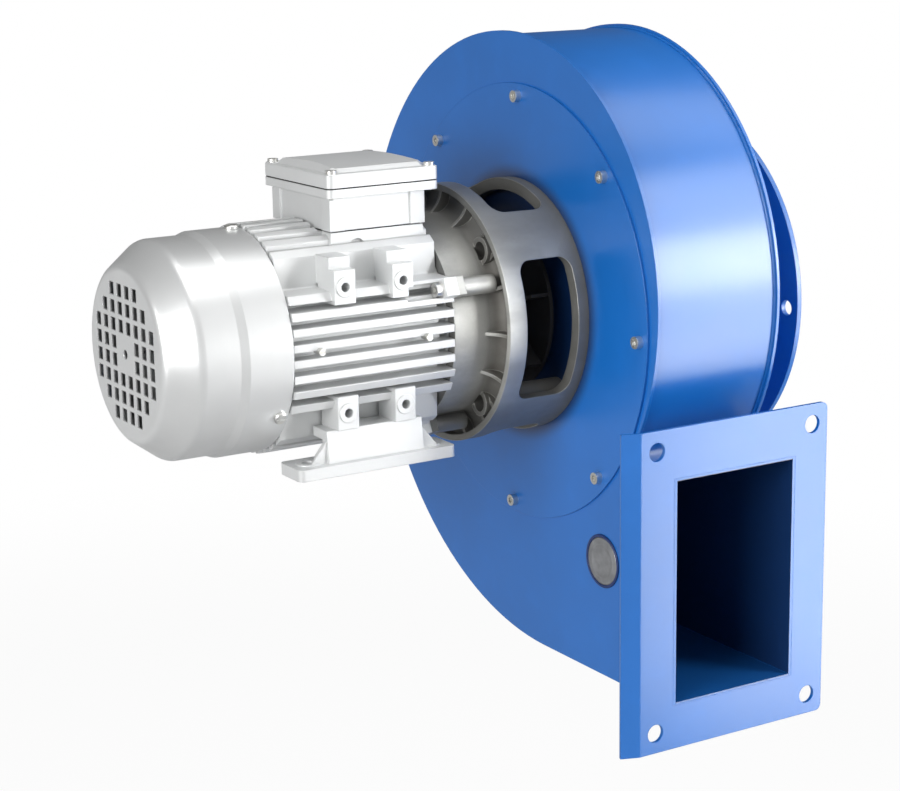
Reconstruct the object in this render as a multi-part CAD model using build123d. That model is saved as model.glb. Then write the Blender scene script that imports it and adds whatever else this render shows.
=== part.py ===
from build123d import *
import os
from math import atan2, cos, degrees, hypot, radians, sin, sqrt, tan

os.makedirs("parts", exist_ok=True)

# A direct-driven centrifugal fan: a finned motor carries a volute of painted sheet through a cast lantern.
# Millimetres. X runs along the shaft from the motor to the inlet, the outlet faces -Y, Z is up.
# X = 0 is the middle of the feet's hole pattern and Z = 0 their sole; the solids are drawn about the
# shaft axis and lifted by the shaft height when they are written.

# Motor: main sizes
SHAFT_HEIGHT = 90.0
FRAME_REAR = -76.0          # rear face of the motor frame
FRAME_FRONT = 70.0          # face against the lantern casting
FRAME_CORE_R = 70.0
FRAME_BORE_R = 62.0
FIN_TIP_R = 85.0
FIN_HALF_WIDTH = 81.0       # the sides are flattened to this half width
FIN_PITCH = 11.2
FIN_TIP_THICKNESS = 5.4
FIN_ROOT_THICKNESS = 7.8    # the cast fins get thicker towards the frame
FIN_ROWS_SIDE = 4           # fins above the axis on each side, as many below
FIN_ROWS_TOP = 5
FIN_FRONT_SETBACK = 1.5
FIN_REAR_SETBACK = 12.0
FRONT_GROOVE_X = 62.0       # from here to the fins' front end the valleys are deeper
FRONT_GROOVE_DEPTH = 3.5
PAD_X = (-22.0, 25.5)
PAD_LENGTH = 17.0
PAD_INNER_Z = 33.5
PAD_OUTER_Z = 58.0
PAD_DEPTH = 25.0
PAD_HOLE_R = 3.4
PAD_HOLE_DEPTH = 12.0
PAD_BOSS_R = 7.2
PAD_BOSS_HEIGHT = 0.8
RISER_TOP = 66.5            # the blocks above the upper pads
RISER_OUTER_Y = 73.0
RISER_INNER_Y = 40.0
ARCH_X = 9.0                # hollow in the base block beside the second riser
ARCH_R = 6.0
ARCH_TOP = 73.0
ARCH_DEPTH = 9.0
STUD_X = (-43.5, 45.0)
STUD_Z = 2.0
STUD_R = 2.6
STUD_PROUD = 4.0
STUD_DEPTH = 5.0

# Frame screws that hold the lantern casting, and the lugs and bosses they pass through
FRAME_SCREW_ANGLES = (66.0, 156.0, 204.0, 294.0)
FRAME_SCREW_CIRCLE_R = 85.0
FRAME_SCREW_R = 3.0
FRAME_SCREW_HEAD_R = 5.0
FRAME_SCREW_HEAD = 6.0
FRAME_SCREW_ROOM = 29.5     # free length behind the lugs for the screws' heads
FRAME_LUG_SIZE = 14.0
FRAME_LUG_LENGTH = 10.5
SHIELD_LUG_LENGTH = 6.0     # the same lug on the lantern casting
SCREW_BOSS_R = 7.0
SCREW_BOSS_END = 103.0      # the screws' round bosses run out here
FRAME_SCREW_REACH = 22.0

# Feet
FEET_SPACING_X = 100.0
FEET_SPACING_Y = 140.0
FOOT_HOLE_R = 5.0
FOOT_LENGTH = 130.0
FOOT_THICKNESS = 8.6
FOOT_OUTER_Y = 86.0
FOOT_INNER_Y = 54.0
FOOT_WEB_OUTER_Y = 80.0
FOOT_WEB_THICKNESS = 7.0
FOOT_WEB_X = (-38.0, 41.0)
FOOT_WEB_LEAN = 3.0
FOOT_GUSSET_RUN = 14.0
FOOT_GUSSET_THICKNESS = 4.0
FOOT_BOSS_R = 9.0
FOOT_BOSS_HEIGHT = 0.8
FOOT_CORNER_R = 4.0
FOOT_LEDGE_THICKNESS = 7.0
FOOT_LEDGE_INNER_Y = 56.5
FOOT_SCREW_Y = 63.5
FOOT_SCREW_R = 4.0
FOOT_SCREW_REACH = 10.0
FOOT_SCREW_HEX = 13.0
FOOT_SCREW_HEAD = 5.3

# Terminal box
BOX_X = (-12.0, 65.0)
BOX_HALF_Y = 43.7
BOX_BOTTOM = 79.6
BOX_TOP = 110.6
BOX_FLANGE_THICKNESS = 6.2
BOX_WALL = 3.0
BOX_CORNER_R = 3.0
BASE_BLOCK_TAPER = 4.0
LEAD_HOLE_R = 9.0
BOX_FIN_GAP = 4.0           # the top fins are cut away this far before the box
GASKET_THICKNESS = 1.0
LID_X = (-17.0, 75.5)
LID_HALF_Y = 50.8
LID_RIM_HEIGHT = 10.0
LID_CAVITY_HEIGHT = 7.0
LID_PANEL_INSET = 5.0
LID_PANEL_HEIGHT = 5.0
LID_PANEL_TAPER = 52.0
LID_CORNER_CUT = 11.0
LID_CORNER_R = 4.0
LID_EDGE_CHAMFER = 0.8
LID_CROWN_R = 420.0
LID_SCREW_INSET = 5.4
LID_SCREW_R = 2.0
LID_SCREW_REACH = 8.0
PILASTER = 12.0
PILASTER_PROUD = 1.2
BOARD_SIZE = (24.0, 44.0, 10.0)
BOARD_STUD_R = 2.0
BOARD_STUD_PITCH = 12.0
BOARD_STUD_PROUD = 9.0
ENTRY_R = 10.0
ENTRY_Z = 92.0
PLUG_X = 11.0
PLUG_HEAD_R = 11.5
PLUG_HEAD = 4.0
GLAND_X = 40.0
GLAND_FLATS = 24.0
GLAND_HEX = 9.0
GLAND_NOSE = 12.0
GLAND_BORE_R = 5.5

# Rear end of the motor
REAR_SHIELD_THICKNESS = 12.0
SHIELD_SPIGOT = 6.0
REAR_SCREW_CIRCLE_R = 66.5
REAR_SCREW_R = 2.5
REAR_SCREW_COUNT = 4
REAR_SCREW_REACH = 12.0
COVER_LUG_WIDTH = 14.0
FAN_COVER_R = 82.8          # outside, beside the frame
FAN_COVER_STEP = 2.4        # the front section is this much smaller
FAN_COVER_FACE_R = 63.4
FAN_COVER_FACE_X = -157.0
FAN_COVER_CONE_X = -134.0
FAN_COVER_STEP_X = (-105.0, -99.0)
FAN_COVER_RIM_X = -65.0
FAN_COVER_WALL = 1.5
FAN_COVER_FACE_EDGE_R = 8.0
FAN_COVER_CONE_EDGE_R = 10.0
FAN_COVER_SCREW_X = -71.5
FAN_COVER_SCREW_R = 2.5
FAN_COVER_SCREW_REACH = 10.0
FAN_COVER_SCREW_ANGLES = (2.0, 122.0, 242.0)
GRILLE_PITCH_Y = 13.2
GRILLE_PITCH_Z = 13.0
GRILLE_SLOT_Y = 8.2
GRILLE_SLOT_Z = 9.4
GRILLE_ROWS = (4, 6, 8, 8, 8, 8, 6, 4)
GRILLE_HUB_R = 15.0         # no slot comes nearer the centre hole than this
GRILLE_HOLE_R = 3.4
FAN_R = 67.0
FAN_HUB_R = 17.0
FAN_BLADES = 7
FAN_BLADE_THICKNESS = 2.2
FAN_DISC_THICKNESS = 2.5
FAN_X = (-126.0, -98.0)

# Shaft, bearings and the electric parts
SHAFT_FAN_R = 9.0
SHAFT_BEARING_R = 12.5
SHAFT_CORE_R = 17.0
SHAFT_SHOULDER_R = 15.5
SHAFT_DRIVE_R = 12.0
SHAFT_SEAT_R = 11.0
SHAFT_TAIL = 3.0            # beyond the cooling fan's hub
BEARING_OUTER_R = 26.0
BEARING_LENGTH = 15.0
BEARING_INNER_RING_R = 17.0
BEARING_OUTER_RING_R = 21.5
FRONT_BEARING_X = 76.0      # motor side of the front bearing
REAR_BEARING_X = -73.0      # motor side of the rear bearing
WASHER_THICKNESS = 1.2      # the preload washer fills the room behind the rear bearing
STATOR_X = (-38.0, 42.0)
WINDING_LENGTH = 19.0
WINDING_R = (39.0, 57.0)
ROTOR_R = 35.0
AIR_GAP = 0.4
ROTOR_RING_LENGTH = 9.0
ROTOR_RING_R = 32.0
CIRCLIP_THICKNESS = 1.2
CIRCLIP_WIDTH = 2.5

# Lantern casting: drum, windows, barrel and bearing hub in one piece
LANTERN_FRONT = 176.0       # face against the cover plate
LANTERN_RIM_X = 105.0
LANTERN_R = 100.0
LANTERN_WALL = 10.0
LANTERN_DRAFT = 0.8
RIM_WALL = 5.0
WEB_X = (113.0, 119.0)
WINDOW_X = (120.0, 166.5)
WINDOW_COUNT = 4
WINDOW_WIDTH = 106.0
WINDOW_CORNER_R = 10.0
PILLAR_CIRCLE_R = 82.5
PILLAR_R = 10.5
PILLAR_BORE_R = 7.0
PILLAR_FACE_X = 104.0       # motor side of the ring round each pillar's bore
PILLAR_CHEEK_SETBACK = 3.5  # the two walls from a ring to the rim stand this much lower
LANTERN_PHASE = 2.0         # windows, ribs and pillars are turned by this angle about the shaft
PILLAR_SEAT_X = 164.0
LANTERN_SCREW_R = 4.0
LANTERN_SCREW_HEAD_R = 6.5
LANTERN_SCREW_HEAD = 8.0
BARREL_R = 79.0
BARREL_WALL = 11.0
BARREL_FLARE_R = 12.0       # the barrel runs into the web in this hollow
HUB_R = 36.0
HUB_WEB_X = (86.0, 96.0)
HUB_NOSE = 8.0
RIB_COUNT = 16
RIB_THICKNESS = 2.6
RIB_START_X = 91.0
RIB_SAG = 4.0               # how far the middle of a rib's free edge is hollowed
SEAL_R = 19.0
SEAL_LENGTH = 8.0

# Cooling disc on the shaft inside the lantern
DISC_R = 66.5
DISC_X = (163.0, 166.0)
DISC_HUB_R = 21.0
DISC_HUB_LENGTH = 18.0
DISC_VANES = 7
DISC_VANE_PHASE = 74.6
DISC_VANE_HEIGHT = 15.0
DISC_VANE_THICKNESS = 2.5
DISC_SCREW_R = 3.0

# Cover plate and the shaft seal on it
COVER_R = 172.0
COVER_THICKNESS = 2.0
COVER_BORE_R = 16.0
COVER_SCREW_CIRCLE_R = 162.5
COVER_SCREW_COUNT = 8
PATTERN_PHASE = 1.6         # both rings of holes are turned by this angle about the shaft
COVER_SCREW_R = 2.5
COVER_SCREW_HEAD_R = 4.6
COVER_SCREW_HEAD = 5.0
COVER_NUT_HEIGHT = 4.0
RETAINER_R = 36.0
RETAINER_BOSS_R = 24.0
RETAINER_BOSS_LENGTH = 8.0
RETAINER_FLANGE = 2.5
RETAINER_LIP = 2.0
FELT_R = 20.0
RETAINER_SCREW_CIRCLE_R = 30.0
RETAINER_SCREW_COUNT = 3
RETAINER_SCREW_R = 2.0

# Volute: three tangent arcs and a straight bottom, at the edge of the side plates
SHEET = 2.5
SCROLL_SHEET = 2.0
SCROLL_WIDTH = 108.0
VOLUTE_CENTRE_Y = 13.2
VOLUTE_CENTRE_Z = 16.0
VOLUTE_R1 = 195.2
VOLUTE_R2 = 220.3
VOLUTE_R3 = 267.0
PLATE_OVERHANG = 3.0
TONGUE_R = 12.0
IMPELLER_OPENING_R = 148.0
OUTLET_FACE_Y = -203.0
OUTLET_HEIGHT = 170.0
OUTLET_FLANGE_THICKNESS = 3.0
OUTLET_FLANGE_SIZE = (174.0, 246.0)
OUTLET_FLANGE_RISE = 2.0    # how far its middle lies above the duct's
OUTLET_HOLE_EDGE = (14.5, 15.5)
OUTLET_HOLE_R = 7.0
OUTLET_LIP = 14.6
OUTLET_LIP_ANGLE = 21.0
OUTLET_BEND_R = 4.0
OUTLET_CORNER_R = 5.0

# Inlet side
COLLAR_BORE_R = 104.0
COLLAR_WALL = 2.0
COLLAR_LENGTH = 56.0
INLET_FLANGE_R = 141.5
INLET_FLANGE_THICKNESS = 4.0
INLET_HOLE_CIRCLE_R = 128.5
INLET_HOLE_R = 6.0
INLET_HOLE_COUNT = 8
CONE_THROAT_R = 84.0
CONE_WALL = 2.0
CONE_ROLL_R = 9.0
CONE_OVERLAP = 6.0          # how far the cone reaches into the impeller eye
CONE_FLANGE_R = 103.0
CONE_SCREW_CIRCLE_R = 99.0
CONE_SCREW_COUNT = 8
CONE_SCREW_R = 2.0
SMALL_HEAD_R = 3.4          # heads of the 4 mm screws on the cone and the seal
SMALL_HEAD = 2.6

# Impeller
IMPELLER_R = 140.0
EYE_R = 91.0
EYE_LENGTH = 10.0
BLADE_COUNT = 12
BLADE_THICKNESS = 2.0
BLADE_INNER_R = 82.0
BLADE_OUTER_R = 138.0
BLADE_ANGLE_IN = 28.0
BLADE_ANGLE_OUT = 40.0
TIP_WIDTH = 55.0
EYE_WIDTH = 72.0
SHROUD_WALL = 1.6
BACK_PLATE_X = 192.0
BACK_PLATE = 2.5
HUB_FLANGE_R = 45.0
HUB_FLANGE = 5.0
IMPELLER_HUB_R = 24.0
HUB_LEAD = 4.0              # how far the hub stands out in front of the back plate
HUB_LENGTH = 39.0
RIVET_CIRCLE_R = 35.0
RIVET_COUNT = 6
RIVET_R = 2.5
KEY_WIDTH = 6.0
KEY_HEIGHT = 6.0
KEY_LENGTH = 30.0
KEY_IN_SHAFT = 3.5
END_BOLT_R = 4.0
END_BOLT_REACH = 18.0
END_WASHER_R = 15.0
END_WASHER = 3.0
END_BOLT_HEX = 13.0
END_BOLT_HEAD = 5.3
RIVET_HEAD_R = 4.25
RIVET_HEAD = 1.5

# Badge: a plain round plate on the motor side plate
BADGE_R = 21.0
BADGE_THICKNESS = 1.2
BADGE_FROM_OUTLET = 89.0

# Clearances
SEAT = 0.02                 # radial gap of a ring or hub on its seat
RUNNING = 0.06              # radial gap of a part that turns inside another
THREAD = 0.05               # radial gap drawn between a thread and its hole
SCREW_CLEARANCE = 0.4       # radial gap of a screw in its through hole
WELD = 0.05                 # gap at a welded edge

# Places that follow from the sizes above
COVER_BACK = LANTERN_FRONT + COVER_THICKNESS
SCROLL_START = COVER_BACK + SHEET
SCROLL_END = SCROLL_START + SCROLL_WIDTH
INLET_PLATE_FACE = SCROLL_END + SHEET
COLLAR_END = INLET_PLATE_FACE + COLLAR_LENGTH
OUTLET_BACK_Y = OUTLET_FACE_Y + OUTLET_FLANGE_THICKNESS
OUTLET_MID_X = (SCROLL_START + SCROLL_END) / 2
VOLUTE_C2_Z = VOLUTE_CENTRE_Z + VOLUTE_R1 - VOLUTE_R2
VOLUTE_C3_Y = VOLUTE_CENTRE_Y + VOLUTE_R2 - VOLUTE_R3
VOLUTE_BOTTOM_Z = VOLUTE_C2_Z - VOLUTE_R3
DUCT_FLOOR_Z = VOLUTE_BOTTOM_Z + PLATE_OVERHANG + SCROLL_SHEET
DUCT_TOP_Z = DUCT_FLOOR_Z + OUTLET_HEIGHT
OUTLET_MID_Z = DUCT_FLOOR_Z + OUTLET_HEIGHT / 2
FLANGE_MID_Z = OUTLET_MID_Z + OUTLET_FLANGE_RISE
PAD_MID_Z = (PAD_INNER_Z + PAD_OUTER_Z) / 2
BOX_MID_X = (BOX_X[0] + BOX_X[1]) / 2
LID_MID_X = (LID_X[0] + LID_X[1]) / 2
LID_SIZE = (LID_X[1] - LID_X[0], 2 * LID_HALF_Y)
BLOCK_TOP = BOX_BOTTOM - GASKET_THICKNESS
LID_BOTTOM = BOX_TOP + GASKET_THICKNESS
LID_TOP = LID_BOTTOM + LID_RIM_HEIGHT
REAR_FACE = FRAME_REAR - REAR_SHIELD_THICKNESS
HUB_START = BACK_PLATE_X - HUB_LEAD
HUB_END = HUB_START + HUB_LENGTH
HUB_FLANGE_X = BACK_PLATE_X + BACK_PLATE
SHAFT_END = HUB_END - 1.0
EYE_X = HUB_FLANGE_X + EYE_WIDTH
CONE_END = EYE_X + EYE_LENGTH - CONE_OVERLAP


def put(x, y, z, shape):
    return Pos(x, y, z) * shape


def bar(x0, x1, radius, bore=0.0):
    """A round bar or tube along X."""
    body = put((x0 + x1) / 2, 0, 0, Rot(0, 90, 0) * Cylinder(radius, x1 - x0))
    if bore > 0:
        body -= put((x0 + x1) / 2, 0, 0, Rot(0, 90, 0) * Cylinder(bore, x1 - x0 + 2))
    return body


def block(x0, x1, y0, y1, z0, z1):
    return put((x0 + x1) / 2, (y0 + y1) / 2, (z0 + z1) / 2, Box(x1 - x0, y1 - y0, z1 - z0))


def turned(*profile):
    """The solid that a closed (x, radius) profile makes when it is turned about the shaft."""
    return revolve(make_face(Polyline(*profile, close=True)), Axis.X)


def round_rings(body, size, *places):
    """Rounds the circular edges of a turned body that lie at the given (x, radius) places."""
    rings = body.edges().filter_by(GeomType.CIRCLE)
    chosen = [ring for ring in rings for x, radius in places
              if abs(ring.center().X - x) < 0.01 and abs(ring.radius - radius) < 0.01]
    return fillet(chosen, size)


def hex_bar(x0, x1, across_flats):
    prism = extrude(RegularPolygon(across_flats / sqrt(3), 6), x1 - x0)
    return put(x0, 0, 0, Rot(0, 90, 0) * prism)


def around(angles, radius, shape):
    """Copies of a shape drawn on the X axis, set at a radius; an angle runs from the top towards the outlet."""
    return [Rot(angle, 0, 0) * Pos(0, 0, radius) * shape for angle in angles]


def even_angles(count, phase=0.0):
    return [phase + 360 * i / count for i in range(count)]


def socket_screw(seat_x, head_r, head, shank_r, reach):
    """A socket head screw along +X with the underside of its head at seat_x."""
    screw = bar(seat_x - head, seat_x, head_r) + bar(seat_x - 0.1, seat_x + reach, shank_r)
    return screw - hex_bar(seat_x - head - 1, seat_x - head * 0.45, head_r * 0.95)


def union(solids):
    total = solids[0]
    for solid in solids[1:]:
        total += solid
    return total


def write(node, *solids):
    """Lifts the solids from the shaft axis to the row's frame and writes one STEP file."""
    flat = []
    for solid in solids:
        flat.extend(solid if isinstance(solid, list) else [solid])
    pieces = [piece for shape in flat for piece in shape.solids()]
    lifted = [Pos(0, 0, SHAFT_HEIGHT) * piece for piece in pieces]
    body = lifted[0] if len(lifted) == 1 else Compound(children=lifted)
    body.label = node
    export_step(body, f"parts/{node}.step")


def fin_section(root, tip, reach):
    """Section of two opposite fins: a bar across the frame whose ends taper to the fins' tips."""
    bend = FRAME_CORE_R * cos(radians(45))
    upper = [(-reach, tip / 2), (-bend, root / 2), (bend, root / 2), (reach, tip / 2)]
    lower = [(y, -half) for y, half in reversed(upper)]
    return make_face(Polyline(*upper, *lower, close=True))


def cooling_fins():
    """The fins on the two sides and on the top and bottom, cut to the frame's flattened round outline."""
    front = FRAME_FRONT - FIN_FRONT_SETBACK
    rear = FRAME_REAR + FIN_REAR_SETBACK
    envelope = bar(rear, front, FIN_TIP_R)
    envelope &= block(rear, front, -FIN_HALF_WIDTH, FIN_HALF_WIDTH, -FIN_TIP_R, FIN_TIP_R)
    slab = put(rear - 1, 0, 0, extrude(Plane.YZ * fin_section(FIN_ROOT_THICKNESS, FIN_TIP_THICKNESS, FIN_TIP_R),
                                       front - rear + 2))
    slabs = []
    for row in range(FIN_ROWS_SIDE):
        for side in (-1, 1):
            slabs.append(put(0, 0, side * (row + 0.5) * FIN_PITCH, slab))
    for row in range(FIN_ROWS_TOP):
        for side in (-1, 1):
            slabs.append(put(0, side * (row + 0.5) * FIN_PITCH, 0, Rot(90, 0, 0) * slab))
    return envelope & Part(children=[union(slabs)])


def motor_frame():
    tube = bar(FRAME_REAR, FRAME_FRONT, FRAME_CORE_R)
    tube -= bar(FRONT_GROOVE_X, FRAME_FRONT - FIN_FRONT_SETBACK, FRAME_CORE_R + 1, FRAME_CORE_R - FRONT_GROOVE_DEPTH)
    under_box = block(BOX_X[0] - BOX_FIN_GAP, FRAME_FRONT, -BOX_HALF_Y, BOX_HALF_Y, BLOCK_TOP, BOX_TOP)
    body = tube + (cooling_fins() - under_box)
    body += motor_pads()
    for angle in FRAME_SCREW_ANGLES:
        body += Rot(angle, 0, 0) * screw_lug(FRAME_FRONT - FRAME_LUG_LENGTH, FRAME_FRONT)
    body += terminal_base()
    body -= bar(FRAME_REAR - 1, FRAME_FRONT + 1, FRAME_BORE_R)
    lug_back = FRAME_FRONT - FRAME_LUG_LENGTH
    hole = bar(lug_back - FRAME_SCREW_ROOM, FRAME_FRONT + 1, FRAME_SCREW_R + SCREW_CLEARANCE)
    head_room = bar(lug_back - FRAME_SCREW_ROOM, lug_back, FRAME_SCREW_HEAD_R + 1)
    for cut in around(FRAME_SCREW_ANGLES, FRAME_SCREW_CIRCLE_R, hole + head_room):
        body -= cut
    rear_hole = bar(FRAME_REAR - 1, FRAME_REAR + REAR_SCREW_REACH, REAR_SCREW_R + THREAD)
    for cut in around(even_angles(REAR_SCREW_COUNT, 45), REAR_SCREW_CIRCLE_R, rear_hole):
        body -= cut
    body -= put(BOX_MID_X, 0, FRAME_CORE_R, Cylinder(LEAD_HOLE_R, FRAME_CORE_R))
    body -= pad_cuts()
    return body


def screw_lug(x0, x1):
    """The square lug round a frame screw, on the frame and on the casting in front of it."""
    half = FRAME_LUG_SIZE / 2
    return block(x0, x1, -half, half, FRAME_CORE_R - 3, FRAME_SCREW_CIRCLE_R + half)


def motor_pads():
    pads = []
    for x in PAD_X:
        for side_y in (-1, 1):
            for side_z in (-1, 1):
                y = side_y * (FIN_HALF_WIDTH - PAD_DEPTH / 2)
                pad = put(x, y, side_z * PAD_MID_Z, Box(PAD_LENGTH, PAD_DEPTH, PAD_OUTER_Z - PAD_INNER_Z))
                boss = put(x, side_y * (FIN_HALF_WIDTH + PAD_BOSS_HEIGHT / 2), side_z * PAD_MID_Z,
                           Rot(90, 0, 0) * Cylinder(PAD_BOSS_R, PAD_BOSS_HEIGHT))
                pads.append(pad + boss)
        for y0, y1 in ((-RISER_OUTER_Y, -RISER_INNER_Y), (RISER_INNER_Y, RISER_OUTER_Y)):
            pads.append(block(x - PAD_LENGTH / 2, x + PAD_LENGTH / 2, y0, y1, PAD_MID_Z, RISER_TOP))
    return union(pads)


def pad_cuts():
    """The tapped holes of the pads, those of the foot screws and those of the plate studs."""
    cuts = []
    side_depth = PAD_HOLE_DEPTH + PAD_BOSS_HEIGHT
    for x in PAD_X:
        for side_y in (-1, 1):
            for side_z in (-1, 1):
                y = side_y * (FIN_HALF_WIDTH + PAD_BOSS_HEIGHT - side_depth / 2)
                cuts.append(put(x, y, side_z * PAD_MID_Z, Rot(90, 0, 0) * Cylinder(PAD_HOLE_R, side_depth)))
            z = -PAD_OUTER_Z + FOOT_SCREW_REACH / 2
            tapped = Cylinder(FOOT_SCREW_R + THREAD, FOOT_SCREW_REACH + 1)
            cuts.append(put(x, side_y * FOOT_SCREW_Y, z, tapped))
    for x in STUD_X:
        y = -FIN_HALF_WIDTH + STUD_DEPTH / 2
        cuts.append(put(x, y, STUD_Z, Rot(90, 0, 0) * Cylinder(STUD_R + THREAD, STUD_DEPTH)))
    return union(cuts)


def terminal_base():
    """The cast block between the fins and the terminal box; its sides lean out and have an arched hollow."""
    height = BLOCK_TOP - PAD_MID_Z
    spread = 2 * height * tan(radians(BASE_BLOCK_TAPER))
    outline = Rectangle(BOX_X[1] - BOX_X[0] + spread, 2 * BOX_HALF_Y + spread)
    body = put(BOX_MID_X, 0, PAD_MID_Z, extrude(outline, height, taper=BASE_BLOCK_TAPER))
    arch_middle = ARCH_TOP - ARCH_R
    for side in (-1, 1):
        y = side * (BOX_HALF_Y + spread / 2)
        arch = put(ARCH_X, y, arch_middle, Rot(90, 0, 0) * Cylinder(ARCH_R, 2 * ARCH_DEPTH))
        legs = put(ARCH_X, y, (PAD_MID_Z + arch_middle) / 2,
                   Box(2 * ARCH_R, 2 * ARCH_DEPTH, arch_middle - PAD_MID_Z))
        body -= arch + legs
    return body


def nameplate_studs():
    studs = []
    for x in STUD_X:
        length = STUD_PROUD + STUD_DEPTH
        y = -FIN_HALF_WIDTH + STUD_DEPTH - length / 2
        stud = put(x, y, STUD_Z, Rot(90, 0, 0) * Cylinder(STUD_R, length))
        slot = put(x, -FIN_HALF_WIDTH - STUD_PROUD, STUD_Z, Box(2 * STUD_R + 1, 1.6, 0.9))
        studs.append(stud - slot)
    return studs


def foot(side):
    """One foot: sole, upright web with end gussets, and the ledge that takes the screws into the pads."""
    sole_top = -SHAFT_HEIGHT + FOOT_THICKNESS
    ledge_top = -PAD_OUTER_Z
    half = FOOT_LENGTH / 2
    sole = block(-half, half, FOOT_INNER_Y, FOOT_OUTER_Y, -SHAFT_HEIGHT, sole_top)
    sole = fillet(sole.edges().filter_by(Axis.Z), FOOT_CORNER_R)
    web_inner = FOOT_WEB_OUTER_Y - FOOT_WEB_THICKNESS
    ledge_bottom = ledge_top - FOOT_LEDGE_THICKNESS
    profile = Polyline((web_inner, sole_top - 1), (FOOT_WEB_OUTER_Y, sole_top - 1),
                       (FOOT_WEB_OUTER_Y - FOOT_WEB_LEAN, ledge_top), (FOOT_LEDGE_INNER_Y, ledge_top),
                       (FOOT_LEDGE_INNER_Y, ledge_bottom), (web_inner - FOOT_WEB_LEAN, ledge_bottom), close=True)
    web_length = FOOT_WEB_X[1] - FOOT_WEB_X[0]
    web = extrude(Plane.YZ * make_face(profile), web_length)
    body = sole + put(FOOT_WEB_X[0], 0, 0, web)
    for x, way in ((FOOT_WEB_X[0], -1), (FOOT_WEB_X[1], 1)):
        corner = Polyline((x, sole_top - 1), (x + way * FOOT_GUSSET_RUN, sole_top - 1), (x, ledge_bottom), close=True)
        fin = extrude(Plane.XZ * make_face(corner), -FOOT_GUSSET_THICKNESS)
        body += put(0, web_inner, 0, fin)
    for x in (-FEET_SPACING_X / 2, FEET_SPACING_X / 2):
        boss = put(x, FEET_SPACING_Y / 2, sole_top, Cylinder(FOOT_BOSS_R, 2 * FOOT_BOSS_HEIGHT))
        body += boss
        body -= put(x, FEET_SPACING_Y / 2, sole_top, Cylinder(FOOT_HOLE_R, 4 * FOOT_THICKNESS))
    for x in PAD_X:
        body -= put(x, FOOT_SCREW_Y, ledge_top - FOOT_LEDGE_THICKNESS / 2,
                    Cylinder(FOOT_SCREW_R + SCREW_CLEARANCE, FOOT_LEDGE_THICKNESS + 2))
    return body if side > 0 else mirror(body, Plane.XZ)


def foot_screws():
    screws = []
    seat = -PAD_OUTER_Z - FOOT_LEDGE_THICKNESS
    for x in PAD_X:
        for side in (-1, 1):
            head = extrude(RegularPolygon(FOOT_SCREW_HEX / sqrt(3), 6), -FOOT_SCREW_HEAD)
            shank = put(0, 0, FOOT_LEDGE_THICKNESS / 2 + FOOT_SCREW_REACH / 2 - 0.5,
                        Cylinder(FOOT_SCREW_R, FOOT_LEDGE_THICKNESS + FOOT_SCREW_REACH - 1))
            screws.append(put(x, side * FOOT_SCREW_Y, seat, head + shank))
    return screws


def box_outline(inset=0.0):
    outline = RectangleRounded(BOX_X[1] - BOX_X[0] - 2 * inset, 2 * (BOX_HALF_Y - inset), BOX_CORNER_R)
    return Pos(BOX_MID_X, 0) * outline


def lid_outline(inset=0.0):
    return Pos(LID_MID_X, 0) * RectangleRounded(LID_SIZE[0] - 2 * inset, LID_SIZE[1] - 2 * inset, LID_CORNER_R - inset)


def lid_screw_places():
    places = []
    for way_x in (-1, 1):
        for way_y in (-1, 1):
            x = LID_MID_X + way_x * (LID_SIZE[0] / 2 - LID_SCREW_INSET)
            y = way_y * (LID_SIZE[1] / 2 - LID_SCREW_INSET)
            places.append((x, y))
    return places


def terminal_box():
    """Box with corner pilasters, a top flange under the lid, an open top and a floor with the lead hole."""
    body = put(0, 0, BOX_BOTTOM, extrude(box_outline(), BOX_TOP - BOX_BOTTOM))
    for way_x in (-1, 1):
        for way_y in (-1, 1):
            x = BOX_MID_X + way_x * ((BOX_X[1] - BOX_X[0]) / 2 + PILASTER_PROUD - PILASTER / 2)
            y = way_y * (BOX_HALF_Y + PILASTER_PROUD - PILASTER / 2)
            post = put(x, y, (BOX_BOTTOM + BOX_TOP) / 2, Box(PILASTER, PILASTER, BOX_TOP - BOX_BOTTOM))
            body += post
    body += put(0, 0, BOX_TOP - BOX_FLANGE_THICKNESS, extrude(lid_outline(), BOX_FLANGE_THICKNESS))
    body -= put(0, 0, BOX_BOTTOM + BOX_WALL, extrude(box_outline(BOX_WALL), BOX_TOP))
    body -= put(BOX_MID_X, 0, BOX_BOTTOM, Cylinder(LEAD_HOLE_R, 30))
    for x, y in lid_screw_places():
        body -= put(x, y, BOX_TOP, Cylinder(LID_SCREW_R + THREAD, 2 * LID_SCREW_REACH))
    for x in (PLUG_X, GLAND_X):
        body -= put(x, BOX_HALF_Y, ENTRY_Z, Rot(90, 0, 0) * Cylinder(ENTRY_R + THREAD, 4 * BOX_WALL))
    return body


def box_base_gasket():
    sheet = put(0, 0, BLOCK_TOP, extrude(box_outline(0.5), GASKET_THICKNESS))
    return sheet - put(BOX_MID_X, 0, BLOCK_TOP, Cylinder(LEAD_HOLE_R + 1, 10))


def lid_gasket():
    sheet = put(0, 0, BOX_TOP, extrude(lid_outline(0.6), GASKET_THICKNESS))
    sheet -= put(0, 0, BOX_TOP - 1, extrude(box_outline(BOX_WALL), GASKET_THICKNESS + 2))
    for x, y in lid_screw_places():
        sheet -= put(x, y, BOX_TOP, Cylinder(LID_SCREW_R + SCREW_CLEARANCE, 6))
    return sheet


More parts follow.
